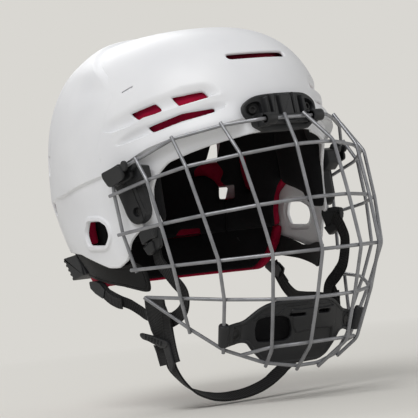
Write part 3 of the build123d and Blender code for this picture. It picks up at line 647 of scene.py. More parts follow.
# upper vent band: crease along its top, facet edge at its front end, ridge below it, and the
# width of the step down from that ridge
BAND_1 = on_chart([(-44.6, -88.4, 53.6), (-62, -72.8, 52.5), (-70.6, -63.4, 48.8),
                   (-80.5, -47.6, 45.2), (-86.3, -35.1, 41.7), (-92.4, -14.0, 34.0),
                   (-94.6, 0.0, 27.0), (-92.4, -20.0, 24.0), (-88.2, -38.0, 27.0),
                   (-83.2, -49, 31.7), (-77, -60.4, 33.4), (-67.4, -73.6, 36.5),
                   (-52, -88.2, 40.2), (-41.8, -95.1, 42)])
BAND_1_TOP = BAND_1[:7]
BAND_1_RIDGE = BAND_1[7:]
BAND_1_END = [BAND_1[-1], BAND_1[0]]
STEP_1 = 1.8
# lower vent band: it comes to a point at its front end
BAND_2 = on_chart([(-37.6, -99.1, 37.6), (-52, -88.8, 37.2), (-67.4, -74.6, 33.4),
                   (-77, -61.4, 30.4), (-83.6, -49.5, 28.2), (-89.4, -36.0, 23.5),
                   (-94.5, -14.0, 13.0), (-90, -32.0, 14.0), (-82.2, -55.1, 18.2),
                   (-68.2, -76.1, 23.6), (-54.0, -90.2, 27.4), (-42.9, -98.1, 30.3)])
BAND_2_TOP = BAND_2[:7]
BAND_2_RIDGE = BAND_2[7:]
STEP_2 = 1.6
# lip over the top wire of the cage, and the lower edge of the brow
LIP = on_chart([(-20.0, -109.5, 24.5), (-34.4, -104.0, 21.4), (-47.8, -96.5, 18.7),
                (-59.6, -87.0, 16.4), (-69.1, -76.7, 14.4), (-77.2, -65.4, 11.6),
                (-83.6, -54.1, 8.3), (-87.9, -44.7, 4.5), (-91.6, -34.3, 0.5)])


def lip_height(turn):
    points = sorted(LIP)
    return np.interp(turn, [p[0] for p in points], [p[1] for p in points])


def slot_field(p):
    """Distance outside the slot near the top of the forehead, negative within it."""
    x = np.abs(p[:, 0]) - (TOP_SLOT_HALF - TOP_SLOT_HIGH)
    z = p[:, 2] - TOP_SLOT_Z
    slope = 1.25
    d = np.hypot(np.maximum(x, 0), z * slope) - TOP_SLOT_HIGH
    return np.where(p[:, 1] < 0, d, 40.0)


# shell pieces

# the two sides, each with the sign of its x
SIDES = (("left", 1), ("right", -1))
# the whole dome as points, outward directions and triangles
GRID_POINTS, GRID_FACES = dome_grid(1.0, 1.6, -84.0)
DOME = (GRID_POINTS, dome_normal(GRID_POINTS), GRID_FACES)


def sunk(s, band, most, full, lead, step):
    """How far a vent band sinks into the shell: from its top crease down, most at its ridge."""
    top, ridge = s["top" + band], s["ridge" + band]
    deep = most * smooth(0, full, top / (top + ridge + 1e-6)) * np.clip(lead, 0, 1)
    return np.where(s["band" + band] > 0, deep * np.clip(ridge / step, 0, 1), 0)


def front_height(s):
    """How far the front shell stands off the plain dome."""
    turn, y, above = turn_of(s.data), s.data[:, 1], s["lip"]
    fade = smooth(8, -42, y)
    h = 0.5 * fade * np.exp(-(s["ridge1"] / 2.2) ** 2)
    h -= sunk(s, "1", 4.4 * fade, 0.75, s["end1"] / 9.0, STEP_1)
    h -= sunk(s, "2", 3.2 * smooth(-5, -45, y), 0.8, s["tip2"] / 14.0, STEP_2)
    side = smooth(74, 60, turn) * smooth(16, 24, turn)
    flare = 4.0 * side * smooth(16, 0, above)
    under = smooth(0, -1.6, above) * (flare + 2.2 * side) + 2.6 * side * smooth(-1.6, -9, above)
    return h + flare - under


def make_front_shell():
    p = GRID_POINTS
    edge = np.minimum(side_field(p, FRONT_SIDE, 3.0), slot_field(p))
    for vent in (VENT_REAR, VENT_FRONT, VENT_LOW):
        edge = np.minimum(edge, -turn_field(p, vent, 1.6))
    s = Sheet(*DOME, edge=edge,
              seam=side_field(p, SEAM + BEHIND_SEAM, 1.0), lip=p[:, 2] - lip_height(turn_of(p)),
              band1=turn_field(p, BAND_1), top1=line_distance(p, BAND_1_TOP),
              ridge1=line_distance(p, BAND_1_RIDGE), end1=line_distance(p, BAND_1_END),
              band2=turn_field(p, BAND_2), top2=line_distance(p, BAND_2_TOP),
              ridge2=line_distance(p, BAND_2_RIDGE), tip2=line_distance(p, BAND_2[:1] * 2))
    s.trim({"edge": (0.35, 1.0), "seam": (0.3, 2.2), "band1": (0.0,), "ridge1": (STEP_1,),
            "band2": (0.0,), "ridge2": (STEP_2,), "lip": (0.0, -1.6)})
    s.slit(SLIT, SLIT_HALF)
    h = front_height(s) - 2.9 * smooth(0.3, 2.2, s["seam"])
    skin = s.skin(h - round_over(s["edge"], 1.1), h - SHELL_WALL + round_over(s["edge"], 0.7))
    fitted(solid("front_shell_skin", *skin, SHELL), "helmet", "shell_white", "front_shell")


def rear_height(s):
    """How far the rear shell stands off the plain dome."""
    y, z, seam = s.data[:, 1], s.data[:, 2], s["seam"]
    high = smooth(56, 74, z)
    flush = 0.12 + 2.1 * smooth(0, 45, seam)
    ramp_up = 0.3 + 2.9 * smooth(0, 6.5, seam) - 0.6 * smooth(9, 30, seam)
    step = 1.9 * smooth(0.6, -1.0, s["ledge"]) * smooth(-14, 0, y) * smooth(95, 60, y)
    h = flush * (1 - high) + ramp_up * high - step * smooth(-60, -30, z)
    return h + 1.3 * smooth(4.8, 3.4, s["ear"]) * smooth(0.2, 0.9, s["edge"])


def ledge_line(y):
    return np.interp(y, [-10, 19, 55, 120], [-6.5, -10.9, -16.8, -22])


def make_rear_shell():
    p = GRID_POINTS
    ear = -side_field(p, EAR_HOLE, 2.5)
    edge = np.minimum(side_field(p, SEAM + LOBE, 2.0), ear)
    for hole in (REAR_VENT, REAR_WINDOW):
        edge = np.minimum(edge, -side_field(p, hole, 0.8))
    s = Sheet(*DOME, edge=edge, ear=ear,
              seam=side_field(p, SEAM + BEHIND_SEAM, 1.0), ledge=p[:, 2] - ledge_line(p[:, 1]))
    s.trim({"edge": (0.35, 1.0), "seam": (6.5,), "ear": (3.4, 4.8), "ledge": (0.6, -1.0)})
    s.slit(side_point(*np.array(REAR_SLIT).T)[0], SLIT_HALF)
    h = rear_height(s)
    free = np.minimum(round_over(s["edge"], 1.0), np.where(s["seam"] < 1.5, h * 0.9, 9.0))
    skin = s.skin(h - free, h - SHELL_WALL + round_over(s["edge"], 0.6))
    fitted(solid("rear_shell_skin", *skin, SHELL), "rear", "shell_white", "rear_shell")


make_front_shell()
make_rear_shell()


# liner and pads

# Distances from the edge of a soft piece at which its sheet is cut, so that it can swell.
SOFT_STEPS = (0.7, 2.0, 4.5)


def dome_share(d, reach):
    """How far a soft face has swollen, from 0 at its edge to 1 a reach away from it."""
    return np.sqrt(np.clip(1 - (1 - np.clip(d / reach, 0, 1)) ** 2, 0, 1))


# Distances below the dome of the outer and inner faces of the foam and of the pads, and how
# far up the pads reach past the foam's edge.
FOAM_IN = -12.0
PAD_OUT, PAD_IN = -12.4, -19.0
SKIRT_OUT = -6.8


def lined(name, node, body, edge, out_h, in_h, crown, material, slot, fill, grid=DOME,
          skirt=None):
    """A foam or pad layer that follows the dome, with rounded edges and a crowned inner face.
    Where the skirt field is negative the pad reaches out to the shell past the foam."""
    s = Sheet(*grid, edge=edge, skirt=9.0 + 0 * edge if skirt is None else skirt)
    s.trim({"edge": SOFT_STEPS, "skirt": (-0.9, -0.4)})
    d = s["edge"]
    out_h = out_h + (SKIRT_OUT - out_h) * smooth(-0.4, -0.9, s["skirt"])
    thick = out_h - in_h
    swell = crown + (1 - crown) * dome_share(d, 11.0)
    under = out_h - thick * swell + round_over(d, np.minimum(1.8, thick * crown / 2))
    piece = solid(name, *s.skin(out_h - round_over(d, 1.2), under), material, 0)
    fitted(piece, body, slot, node)


# outlines of the foams and pads, and the openings in them, from the side
FRONT_FOAM = [
    (-200, 20), (-106, 17), (-84, 15.5), (-62, 15.5), (-30, 15.5), (8, 16), (4, 45),
    (15, 70), (58, 93), (68, 100), (73, 200), (-200, 200),
]
REAR_FOAM = [
    (77, 200), (72, 98), (62, 91), (19, 68), (8, 45), (20, 12), (12, -8), (14, -22),
    (29, -32), (32, -45), (31, -57.5), (220, -57.5), (220, 200),
]
BROW_PAD = [(-130, 14), (-130, 46), (-60, 52), (-48, 30), (-50, 16), (-58, 2), (-72, 2.6),
            (-84, 10.5)]
CROWN_PAD = [(-45, 70), (-45, 130), (52, 130), (52, 70)]
NAPE_PAD = [(88, 17.8), (95, 3.5), (107.5, -4), (108.3, -9.9), (98.5, -9.6), (90.6, -15),
            (86.2, -21.3), (86.2, -30.8), (78.9, -32), (78.9, -58.5), (100.5, -58.5), (101.5, -53),
            (116, -52.4), (117, -58.5), (180, -58.5), (180, 40), (81.8, 40), (81.8, 18.4)]
TEMPLE_PAD = [(-44, 50), (-49, 20), (-57.5, 1), (-53, -10), (-54, -44), (-51, -48), (-40, -46),
              (-26, -36), (-9, -31), (5, -27), (11, -24), (15, 12), (8, 26), (-10, 40), (-36, 50)]
SIDE_PAD = [(11, 20), (11, -20), (19, -26), (25, -36), (27.5, -46), (27, -58.5), (78.9, -58.5),
            (78.9, -32), (69, -31.6), (69, -20.6), (79.4, -20.6), (83.4, -15.7), (78.6, -8.8),
            (85, 0.6), (77.3, 17.4), (81.8, 18.4), (81.8, 44), (20, 44)]
SIDE_GAP = [(53, 1.5), (62, 2.5), (61.5, -11), (58, -24.5), (50.5, -29), (52.2, -16)]
FOAM_VENT = [(82.5, 18.2), (104.6, 18.6), (104.6, 0.8), (86, -0.2), (82.5, 4)]
FOAM_WINDOW = [(73, -20.2), (98.6, -20.2), (98.6, -31), (73.4, -31.6)]

# The collar is the ring below the rear shell that the neck liner and bands follow.
COLLAR_Z = [-99.0, -52.0]


def collar_size(z):
    """Half width, front depth and rear depth of the ring below the shell at a height."""
    return (np.interp(z, COLLAR_Z, [79.0, 98.96]), np.interp(z, COLLAR_Z, [104.0, 121.1]),
            np.interp(z, COLLAR_Z, [101.0, 122.7]))


def collar_point(y, z):
    """The point of the collar above a side-view point, on the wearer's left."""
    half, front, rear = collar_size(z)
    room = 1 - ((y - MID_Y) / np.where(y < MID_Y, front, rear)) ** 2
    return np.stack([half * np.sqrt(np.clip(room, 0, None)), y, z], -1), room >= 0


def collar_grid():
    """Points, directions and triangles of the collar."""
    turn = np.radians(np.arange(0, 360, 1.2))
    points = []
    rows = np.linspace(-53.0, -100.0, 37)
    for z in rows:
        half, front, rear = collar_size(z)
        along = -np.cos(turn)
        b = np.where(along < 0, front, rear)
        points.append(np.stack([half * np.sin(turn), MID_Y + b * along, 0 * turn + z], -1))
    faces = np.array(halved(quads(len(rows), len(turn))))
    p = np.vstack(points)
    half, front, rear = collar_size(p[:, 2])
    y = p[:, 1] - MID_Y
    normal = np.stack([p[:, 0] / half ** 2, y / np.where(y < 0, front, rear) ** 2, 0 * y], -1)
    return p, normal / np.linalg.norm(normal, axis=1, keepdims=True), faces


NECK_LINER = [(31, -57.8), (29, -70), (33, -84), (42, -92), (220, -92), (220, -57.8)]
NECK_PAD = [(34, -54.5), (33, -70), (37, -82), (45, -90), (220, -90), (220, -54.5)]
NECK_BAND = [
    (66, -60.5), (42, -63), (20, -69.5), (0, -76), (-12, -76.5), (-20, -75), (-24, -76.5),
    (-27.5, -80), (-28, -84), (-26, -92.4), (-23.6, -97), (-21, -98.4), (-16.2, -98),
    (-10.6, -96.4), (2.7, -92.8), (23.6, -89.3), (36.1, -86.7), (51.3, -83.4), (66, -80),
]
NECK_BAND_LEFT = [
    (66, -60.5), (42, -63), (20, -69.5), (0, -76), (-12, -76.5), (-20, -75), (-27.4, -75.1),
    (-37.6, -77.5), (-37.2, -95), (-27.5, -92.5), (0.4, -86.6), (24.8, -82.8), (45, -80.5),
    (66, -79),
]
# thickness of the neck bands and how far their stitching is from the edge
BAND_THICK = 2.2
STITCH_IN = 2.9


def make_collar():
    """The liner, its pad and the two neck bands that hang below the rear shell."""
    grid = collar_grid()
    p = grid[0]
    edge = side_field(p, NECK_LINER, 4.0, collar_point)
    lined("neck_liner_foam", "neck_liner", "rear", edge, -0.3, -8.0, 0.85, RED, "foam_red",
          0.8, grid)
    edge = side_field(p, NECK_PAD, 3.0, collar_point)
    low = np.where((np.abs(p[:, 0]) > 30) & (np.abs(p[:, 0]) < 64), -59.0 - p[:, 2], 9.0)
    edge = np.minimum(edge, np.where(p[:, 1] > 60, low, 9.0))
    lined("neck_comfort_pad", "neck_pad", "rear", edge, -8.3, -12.0, 0.5, BLACK_FOAM,
          "pad_black", 0.6, grid)
    for side, sign, outline in (("left", 1, NECK_BAND_LEFT), ("right", -1, NECK_BAND)):
        band = side_field(p, outline, 2.5, collar_point)
        s = Sheet(*grid, edge=np.minimum(band, sign * p[:, 0] - 20))
        s.trim({"edge": (0.4, 1.0, 2.4, STITCH_IN, 3.4)})
        d = s["edge"]
        groove = 0.5 * np.clip(1 - np.abs(d - STITCH_IN) / 0.5, 0, 1)
        skin = s.skin(BAND_THICK - round_over(d, 1.0) - groove, round_over(d, 0.4) + 0.1)
        fitted(solid(f"neck_band_web_{side}", *skin, WEB), "rear", "webbing_black",
               f"neck_band_{side}")


def make_liner():
    """The red foam of both shells and the black pads on it."""
    p = GRID_POINTS
    x = p[:, 0]
    front = side_field(p, FRONT_FOAM, 3.0)
    lined("front_foam_liner", "front_foam", "helmet", front, -6.6, FOAM_IN, 0.8, RED,
          "foam_red", 0.8)
    rear = side_field(p, REAR_FOAM, 3.0)
    for hole in (EAR_HOLE, FOAM_VENT, FOAM_WINDOW):
        rear = np.minimum(rear, -side_field(p, hole, 1.5))
    lined("rear_foam_liner", "rear_foam", "rear", rear, -2.6, FOAM_IN, 0.85, RED, "foam_red", 0.8)
    black = (PAD_OUT, PAD_IN, 0.4, BLACK_FOAM, "pad_black", 0.6)
    brow = np.minimum(side_field(p, BROW_PAD, 3.0), 80 - np.abs(x))
    lined("brow_comfort_pad", "brow_pad", "helmet", brow, *black, skirt=front)
    crown = np.minimum(side_field(p, CROWN_PAD, 6.0), 34 - np.abs(x))
    lined("crown_comfort_pad", "crown_pad", "helmet", crown, *black)
    nape = np.minimum(side_field(p, NAPE_PAD, 1.6), 95 - np.abs(x))
    lined("nape_comfort_pad", "nape_pad", "rear", nape, *black)
    temple_field = side_field(p, TEMPLE_PAD, 4.0)
    flank_field = np.minimum(side_field(p, SIDE_PAD, 1.6), -side_field(p, SIDE_GAP, 1.5))
    for side, sign in SIDES:
        temple = np.minimum(temple_field, sign * x - 30)
        lined(f"temple_comfort_pad_{side}", f"temple_pad_{side}", "helmet", temple, *black,
              skirt=front)
        flank = np.minimum(flank_field, sign * x - 30)
        lined(f"side_comfort_pad_{side}", f"side_pad_{side}", "rear", flank, *black)


make_liner()
make_collar()


# webbing

def run_along(line):
    """Length from the start of a line to each of its points."""
    return np.append(0, np.cumsum(np.linalg.norm(np.diff(line, axis=0), axis=1)))


def evened(line, count):
    """A line as a number of points at even distances."""
    run = run_along(line)
    at = np.linspace(0, run[-1], count)
    return np.stack([np.interp(at, run, line[:, k]) for k in range(3)], -1)


def spline(points, step=1.2):
    """A smooth line through points, cut into even steps."""
    p = np.array(points, float)
    p = np.vstack([2 * p[0] - p[1], p, 2 * p[-1] - p[-2]])
    out = []
    for a, b, c, d in zip(p[:-3], p[1:-2], p[2:-1], p[3:]):
        for t in np.arange(24) / 24:
            out.append(0.5 * (2 * b + (c - a) * t + (2 * a - 5 * b + 4 * c - d) * t * t
                              + (3 * b - a - 3 * c + d) * t ** 3))
    out = np.vstack([out, p[-2:-1]])
    return evened(out, max(3, int(run_along(out)[-1] / step)))


# cross-section of the webbing: share of its half width, and share of its half thickness
WEB_SHARES = [-1, -0.975, -0.91, -0.82, -0.76, -0.4, 0, 0.4, 0.76, 0.82, 0.91, 0.975, 1]
WEB_RISE = [0, 0.62, 0.98, 1.0, 0.84, 0.86, 0.87, 0.86, 0.84, 1.0, 0.98, 0.62, 0]


def ribbon(name, line, across, width, thick, body, stitches=(), nodes=()):
    """Webbing along a line: a thin band with rounded selvedges and its own length-wise UV."""
    line = np.asarray(line, float)
    along = np.gradient(line, axis=0)
    along /= np.linalg.norm(along, axis=1, keepdims=True)
    across = np.broadcast_to(np.asarray(across, float), line.shape)
    across = across - along * np.sum(across * along, axis=1, keepdims=True)
    across = across / np.linalg.norm(across, axis=1, keepdims=True)
    face = np.cross(along, across)
    run = run_along(line)
    width = np.broadcast_to(np.asarray(width, float), run.shape)
    points, uvs = [], []
    section = list(zip(WEB_SHARES, WEB_RISE))
    section += [(s, -r) for s, r in section[-2:0:-1]]
    n = len(section)
    for k in range(len(line)):
        dip = 0.0
        for place in stitches:
            dip = max(dip, 0.35 * max(0.0, 1 - abs(run[k] - place) / 0.8))
        for s, r in section:
            side = s * width[k] / 2
            lift = r * thick / 2 * (1 - dip * (abs(s) < 0.8))
            points.append(line[k] + across[k] * side + face[k] * lift)
            uvs.append((run[k] * MM, side * MM))
    faces = quads(len(line), n)
    faces += [list(range(n))[::-1], list(range((len(line) - 1) * n, len(line) * n))]
    piece = solid(name, points, faces, WEB, 50.0)
    layer = piece.data.uv_layers.new(name="length")
    for loop in piece.data.loops:
        layer.data[loop.index].uv = uvs[loop.vertex_index]
    fitted(piece, body, "webbing_black", *nodes)


def edge_on(line):
    """Width directions of webbing that lies flat against the side of the head."""
    return np.cross([1.0, 0.0, 0.0], np.gradient(line, axis=0))


# The two edges of the hanging chin strap, from the wearer's right to the left, as (x, z)
# points. Each lies at one y.
CHIN_FRONT_Y, CHIN_BACK_Y = -52, -40
CHIN_FRONT_EDGE = [
    (-80.2, -115), (-80.3, -130), (-81.2, -145), (-80.6, -154.4), (-76.4, -163.9),
    (-70.7, -171.8), (-63.8, -178.3), (-56.1, -182.3), (-48.1, -185.2), (-38.6, -186.8),
    (-27.9, -187.1), (-16.5, -186.2), (-4.7, -183.9), (6.9, -179.6), (16.8, -174.3),
    (23.2, -170.0), (40, -160.5), (58, -147), (72, -134.5), (79.6, -123), (80.3, -114.5),
]
CHIN_BACK_EDGE = [
    (-80.2, -115), (-80.3, -130), (-81.0, -147), (-80.0, -156.4), (-72.2, -165.7),
    (-63.5, -173.1), (-54.4, -177.0), (-46.3, -179.2), (-36.3, -180.9), (-25.1, -181.1),
    (-13.6, -180.3), (-1.8, -177.9), (8.2, -174.5), (16.2, -169.7), (35, -159.5), (55, -147),
    (70, -135), (79.2, -123.5), (80.3, -114.5),
]
# middle lines of the straps, by default on the wearer's right
FRONT_STRAP = [
    (-82.6, -46, -60), (-82.6, -46.5, -68), (-82.3, -48, -76), (-81.2, -53.5, -83.2),
    (-79.5, -60.9, -92), (-78.3, -65.1, -96.6), (-77.2, -68, -101.5), (-76.8, -68.0, -107.2),
    (-76.6, -64.6, -113.4), (-76.0, -56.4, -117.9), (-75.8, -45, -121.2), (-75.8, -37, -121.8),
]
FRONT_STRAP_LEFT = [
    (82.6, -52, -57), (83, -57, -61), (83, -61, -67), (83, -63.5, -76), (83, -58, -93),
    (81, -51.6, -101.5), (76.8, -44.5, -110.5), (75.8, -42, -122),
]
REAR_STRAP = [(-84.9, 36, -90.8), (-84.9, 24.2, -96.7), (-84.7, 8, -102.8),
              (-81.5, -0.2, -106.5), (-77.5, -7.2, -112), (-76.0, -13.5, -115.9),
              (-76.0, -28, -118.6), (-76.0, -44, -120.6)]
REAR_STRAP_LEFT = [(84.9, 36, -88), (84.9, 31.5, -97), (84.5, 22, -109), (82, 8, -116.5),
                   (79, -8, -118.5), (76, -28, -119.5), (76, -45, -121.5)]
REAR_FOLD = [(-86.3, 26, -97), (-86.4, 18, -101.3), (-86.3, 8.6, -104.6), (-86.0, 4, -105.4)]
REAR_FOLD_LEFT = [(86.2, 32, -98.6), (86.1, 28.6, -102.4), (85.8, 24, -107.4)]
TAB = [(-78.1, -28.9, -102.9), (-78.1, -29.1, -107), (-78.1, -29.8, -113.6),
       (-78.1, -32.4, -120), (-78.1, -35.4, -131)]
TAB_LEFT = [(78.1, -43, -110), (78.1, -45, -114), (78.1, -45.5, -119), (78.1, -44, -125),
            (78.1, -41, -131)]
TAB_FOLD = [(-79.6, -36.0, -131), (-80.4, -37.6, -138), (-80.6, -38.6, -146),
            (-79.6, -39.4, -154)]
TAIL = [(-79.4, -47, -122), (-80.6, -49.6, -132), (-81.6, -52.4, -141), (-81.8, -54.4, -148),
        (-81.4, -55.2, -152.4)]
# front strap, rear strap and its width, fold, tab and its widths, on each side
STRAP_ROUTES = {
    "right": (FRONT_STRAP, REAR_STRAP, 8.2, REAR_FOLD, TAB, [26.5, 27.2, 28.0, 28.0, 23.5]),
    "left": (FRONT_STRAP_LEFT, REAR_STRAP_LEFT, 10.6, REAR_FOLD_LEFT, TAB_LEFT,
             [11.0, 14.0, 19.0, 22.0, 23.0]),
}
LEVEL = (0, 1, 0.001)


def make_straps():
    edges = ((CHIN_FRONT_EDGE, CHIN_FRONT_Y), (CHIN_BACK_EDGE, CHIN_BACK_Y))
    front, back = (evened(spline([(x, y, z) for x, z in edge], 0.6), 230) for edge, y in edges)
    ribbon("chin_strap_webbing", (front + back) / 2, front - back,
           np.linalg.norm(front - back, axis=1), 1.6, "strap", nodes=("chin_strap",))
    for side, (fore, aft, aft_width, fold, tab, tab_widths) in STRAP_ROUTES.items():
        line = spline(fore)
        ribbon(f"front_strap_webbing_{side}", line, edge_on(line), 11.0, 1.5, "helmet", (4.0,),
               (f"front_strap_{side}",))
        line = spline(aft)
        ribbon(f"rear_strap_webbing_{side}", line, edge_on(line), aft_width, 1.5, "helmet",
               nodes=(f"rear_strap_{side}",))
        line = spline(fold)
        ribbon(f"rear_strap_fold_{side}", line, edge_on(line), aft_width + 0.2, 1.4, "helmet",
               (3.0, 12.0))
        line = spline(tab)
        width = np.interp(np.linspace(0, 4, len(line)), range(5), tab_widths)
        ribbon(f"strap_tab_webbing_{side}", line, LEVEL, width, 1.6, "helmet", (4.0,),
               (f"strap_tab_{side}",))
    ribbon("chin_strap_fold", spline(TAB_FOLD), LEVEL, 21.0, 1.4, "strap", (20.0,))
    ribbon("chin_strap_tail", spline(TAIL), LEVEL, 7.5, 1.5, "strap", (27.0,))


make_straps()


# moulded plastic

def slab(outline, low, high, place, edge=0.7, corner=1.3):
    """A closed plate over an outline, with rounded edges, placed by a function of (u, v), w."""
    flat = rounded_outline(outline, corner)
    x, y = flat[:, 0], flat[:, 1]
    if np.sum(x * np.roll(y, -1) - y * np.roll(x, -1)) < 0:
        flat = flat[::-1]
    ahead = np.roll(flat, -1, 0) - flat
    ahead /= np.linalg.norm(ahead, axis=1, keepdims=True)
    both = ahead + np.roll(ahead, 1, 0)
    inward = np.stack([-both[:, 1], both[:, 0]], -1)
    inward /= np.linalg.norm(inward, axis=1, keepdims=True)
    lean = inward[:, 1] * ahead[:, 0] - inward[:, 0] * ahead[:, 1]
    inward /= np.clip(lean, 0.5, 1)[:, None]
    cap = 0.29 * edge
    steps = [(edge + 0.5, high), (edge, high), (cap, high - cap), (0, high - edge),
             (0, low + edge), (cap, low + cap), (edge, low), (edge + 0.5, low)]
    n = len(flat)
    points = np.vstack([place(flat + inward * inset, w) for inset, w in steps])
    faces = [list(range(n)), list(range(7 * n, 8 * n))[::-1]]
    return points, faces + [[a, d, c, b] for a, b, c, d in quads(8, n)]


def box(x0, x1, z0, z1):
    return [(x0, z0), (x0, z1), (x1, z1), (x1, z0)]


def forward(slope=0.0, level=0.0):
    """Places a plate that faces the front: (x, z) and the distance ahead, leaning by a slope."""
    def place(p, w):
        return np.stack([p[:, 0], -(w - slope * (p[:, 1] - level)), p[:, 1]], -1)
    return place


def sideways(sign):
    """Places a plate that faces sideways: (y, z) and the distance out."""
    def place(p, w):
        return np.stack([sign * w + 0 * p[:, 0], p[:, 0], p[:, 1]], -1)
    return place


def turned(profile, centre, axis, count=36):
    """A closed round body from (radius, height) pairs along an axis."""
    axis = np.array(axis, float) / np.linalg.norm(axis)
    side = np.cross(axis, [0.31, 0.53, 0.79])
    side /= np.linalg.norm(side)
    other = np.cross(axis, side)
    turn = np.arange(count) / count * 2 * math.pi
    ring_way = np.outer(np.cos(turn), side) + np.outer(np.sin(turn), other)
    points = np.vstack([np.array(centre) + axis * h + r * ring_way for r, h in profile])
    faces = [list(range(count))[::-1], list(range((len(profile) - 1) * count, len(points)))]
    return points, faces + quads(len(profile), count)


def barrel(centre, axis, radius, half, edge=0.7):
    profile = [(radius - edge - 0.4, -half), (radius - edge, -half), (radius - 0.3 * edge,
               0.3 * edge - half), (radius, edge - half), (radius, half - edge),
               (radius - 0.3 * edge, half - 0.3 * edge), (radius - edge, half),
               (radius - edge - 0.4, half)]
    return turned(profile, centre, axis)


def joined(name, parts, material, sharp=35.0):
    """One object from several closed bodies, each with its faces turned outwards."""
    points, faces, count = [], [], 0
    for p, f in parts:
        points.append(p)
        faces += [[int(i) + count for i in face] for face in f]
        count += len(p)
    piece = solid(name, np.vstack(points), faces, material, 0)
    shape = bmesh.new()
    shape.from_mesh(piece.data)
    bmesh.ops.recalc_face_normals(shape, faces=shape.faces)
    shape.to_mesh(piece.data)
    shape.free()
    piece.data.set_sharp_from_angle(angle=math.radians(sharp))
    return piece


def front_spot(x, z):
    p = front_point(np.array([x]), np.array([z]))
    return p[0], dome_normal(p)[0]


def side_spot(sign, y, z):
    p = side_point(np.array([y]), np.array([z]))[0]
    n = dome_normal(p)[0]
    return p[0] * [sign, 1, 1], n * [sign, 1, 1]


# forehead mount, from the front
MOUNT = (arch([(-32.7, 26.5), (-31.8, 31.2), (-26, 35.2), (-20, 37.2), (-9, 37.8)])
         + arch([(31.4, 22), (28, 20)]))
MOUNT_WELL = [(19.0, 22.6), (19.0, 32.2), (24.4, 32), (28.4, 29.9), (30.0, 26.6), (28.8, 23.2),
              (26, 22.2)]
MOUNT_SCREW = (24.6, 27.2)
# open ring round the top wire, from the side, and the foot that carries it
HOOK_AT = (-124.2, 19.5)
HOOK = [
    (HOOK_AT[0] + r * math.cos(math.radians(t)), HOOK_AT[1] + r * math.sin(math.radians(t)))
    for r, turns in ((4.5, range(62, 404, 9)), (2.2, range(395, 61, -9))) for t in turns
]
HOOK_FOOT = [(-111, 13.4), (-121.4, 14.6), (-121.0, 22.6), (-118, 24.2), (-111, 24.2)]


def make_mount():
    """The forehead mount: a rimmed oval with two screw wells, ribs and a housing for the wire."""
    p = GRID_POINTS
    close = (p[:, 1] < -60) & (p[:, 2] > 5) & (p[:, 2] < 60)
    edge = np.where(close, front_field(p, MOUNT, 4.0), -50)
    s = Sheet(*DOME, edge=edge,
              well=front_field(mirrored(p), MOUNT_WELL, 2.2))
    s.trim({"edge": (0.4, 1.4, 2.0, 2.8), "well": (-0.5, 0.1)}, 0.03)
    rim = 5.4 - round_over(s["edge"], 1.4) - 0.5 * smooth(2.0, 2.8, s["edge"])
    parts = [s.skin(rim - 3.9 * smooth(-0.5, 0.1, s["well"]), -2.2)]
    lean = forward(0.18, 21.0)
    parts.append(slab(box(-5.4, 5.4, 20.4, 37.6), 100, 119.4, lean, 0.8))
    for sign in (1, -1):
        for low, high, ahead, top in ((7.4, 12.2, 117.8, 38.8), (15.4, 18.2, 118.6, 36.6)):
            outline = [(sign * low, 20.6), (sign * low, top), (sign * high, top - 0.8),
                       (sign * high, 20.6)]
            parts.append(slab(outline, 100, ahead, lean, 0.6, 0.9))
        parts.append(slab([(sign * 18, 20.5), (sign * 18, 23.5), (sign * 29, 23.0),
                           (sign * 29, 20.5)], 98, 113.6, lean, 0.7, 1.2))
        parts.append(slab(box(sign * 12, sign * 15.6, 33, 36.4), 100, 115.8, lean, 0.6, 0.8))
    parts.append(slab(box(-16.8, 16.8, 15.0, 22.4), 100, 120.4, forward(), 0.8))
    parts.append(slab(box(-5.6, 5.6, 15.0, 17.2), 110, 124.6, forward(), 0.7, 0.8))
    parts.append(slab([(-26.6, 15.2), (-26.6, 20.6), (26.6, 20.6), (26.6, 15.2), (20, 10.6),
                       (-20, 10.6)], 97, 114.4, forward(0.1, 15.0), 0.9, 1.6))
    fitted(joined("forehead_mount", parts, BLACK), "helmet", "hardware_black", "mount_plate")
    hooks, screws = [], []
    for sign in (1, -1):
        hooks += [slab(HOOK, 17.2, 26.0, sideways(sign), 0.4, 0.3),
                  slab(HOOK_FOOT, 17.8, 25.4, sideways(sign), 0.7, 0.9)]
        place, normal = front_spot(sign * MOUNT_SCREW[0], MOUNT_SCREW[1])
        screws.append(turned([(3.2, 1.0), (3.4, 1.3), (3.4, 2.6), (2.9, 3.2), (2.0, 3.3),
                              (1.8, 3.1), (1.7, 2.0), (0.4, 1.9)], place, normal))
    fitted(joined("mount_hooks", hooks, BLACK), "helmet", "hardware_black", "mount_clips")
    fitted(joined("mount_screw_heads", screws, SCREW), "helmet", "screw_dark", "mount_screws")


# side plate, the crease down its front, its screw, and the block over the frame wire
PLATE = [(-19, -4), (-30, -1.5), (-38, -2), (-42, -6.5), (-45, -14.5), (-46.3, -21),
         (-47.2, -29.6), (-48, -37.9), (-45.6, -43.6), (-41.5, -46.6), (-37.4, -47.4),
         (-33.2, -45.4), (-29.6, -40.4), (-27.2, -32.6), (-23.6, -22.4), (-20, -15)]
PLATE_CREASE_Z = [-46.0, -36.6, -28.8, -19.7, -8.0, 4.0]
PLATE_CREASE_Y = [-46.5, -45.2, -42.6, -40.2, -38.0, -36.0]
PLATE_SCREW = (-39.6, -37.7)
LATCH = [(-17.8, -5.6), (-39.5, -1.6), (-44, -3), (-47.6, -8), (-47, -12.4), (-29, -17.2),
         (-25.5, -16.6), (-18.6, -9.6)]
LATCH_ROOF = [(-25.0, -4.2), (-39.5, -0.7), (-45.0, -1.4), (-45.0, -2.8), (-39.5, -3.2),
              (-26.5, -6.2)]
LATCH_FOOT = [(-36, -1.5), (-52, -4), (-53.6, -14), (-46, -20), (-36, -18)]


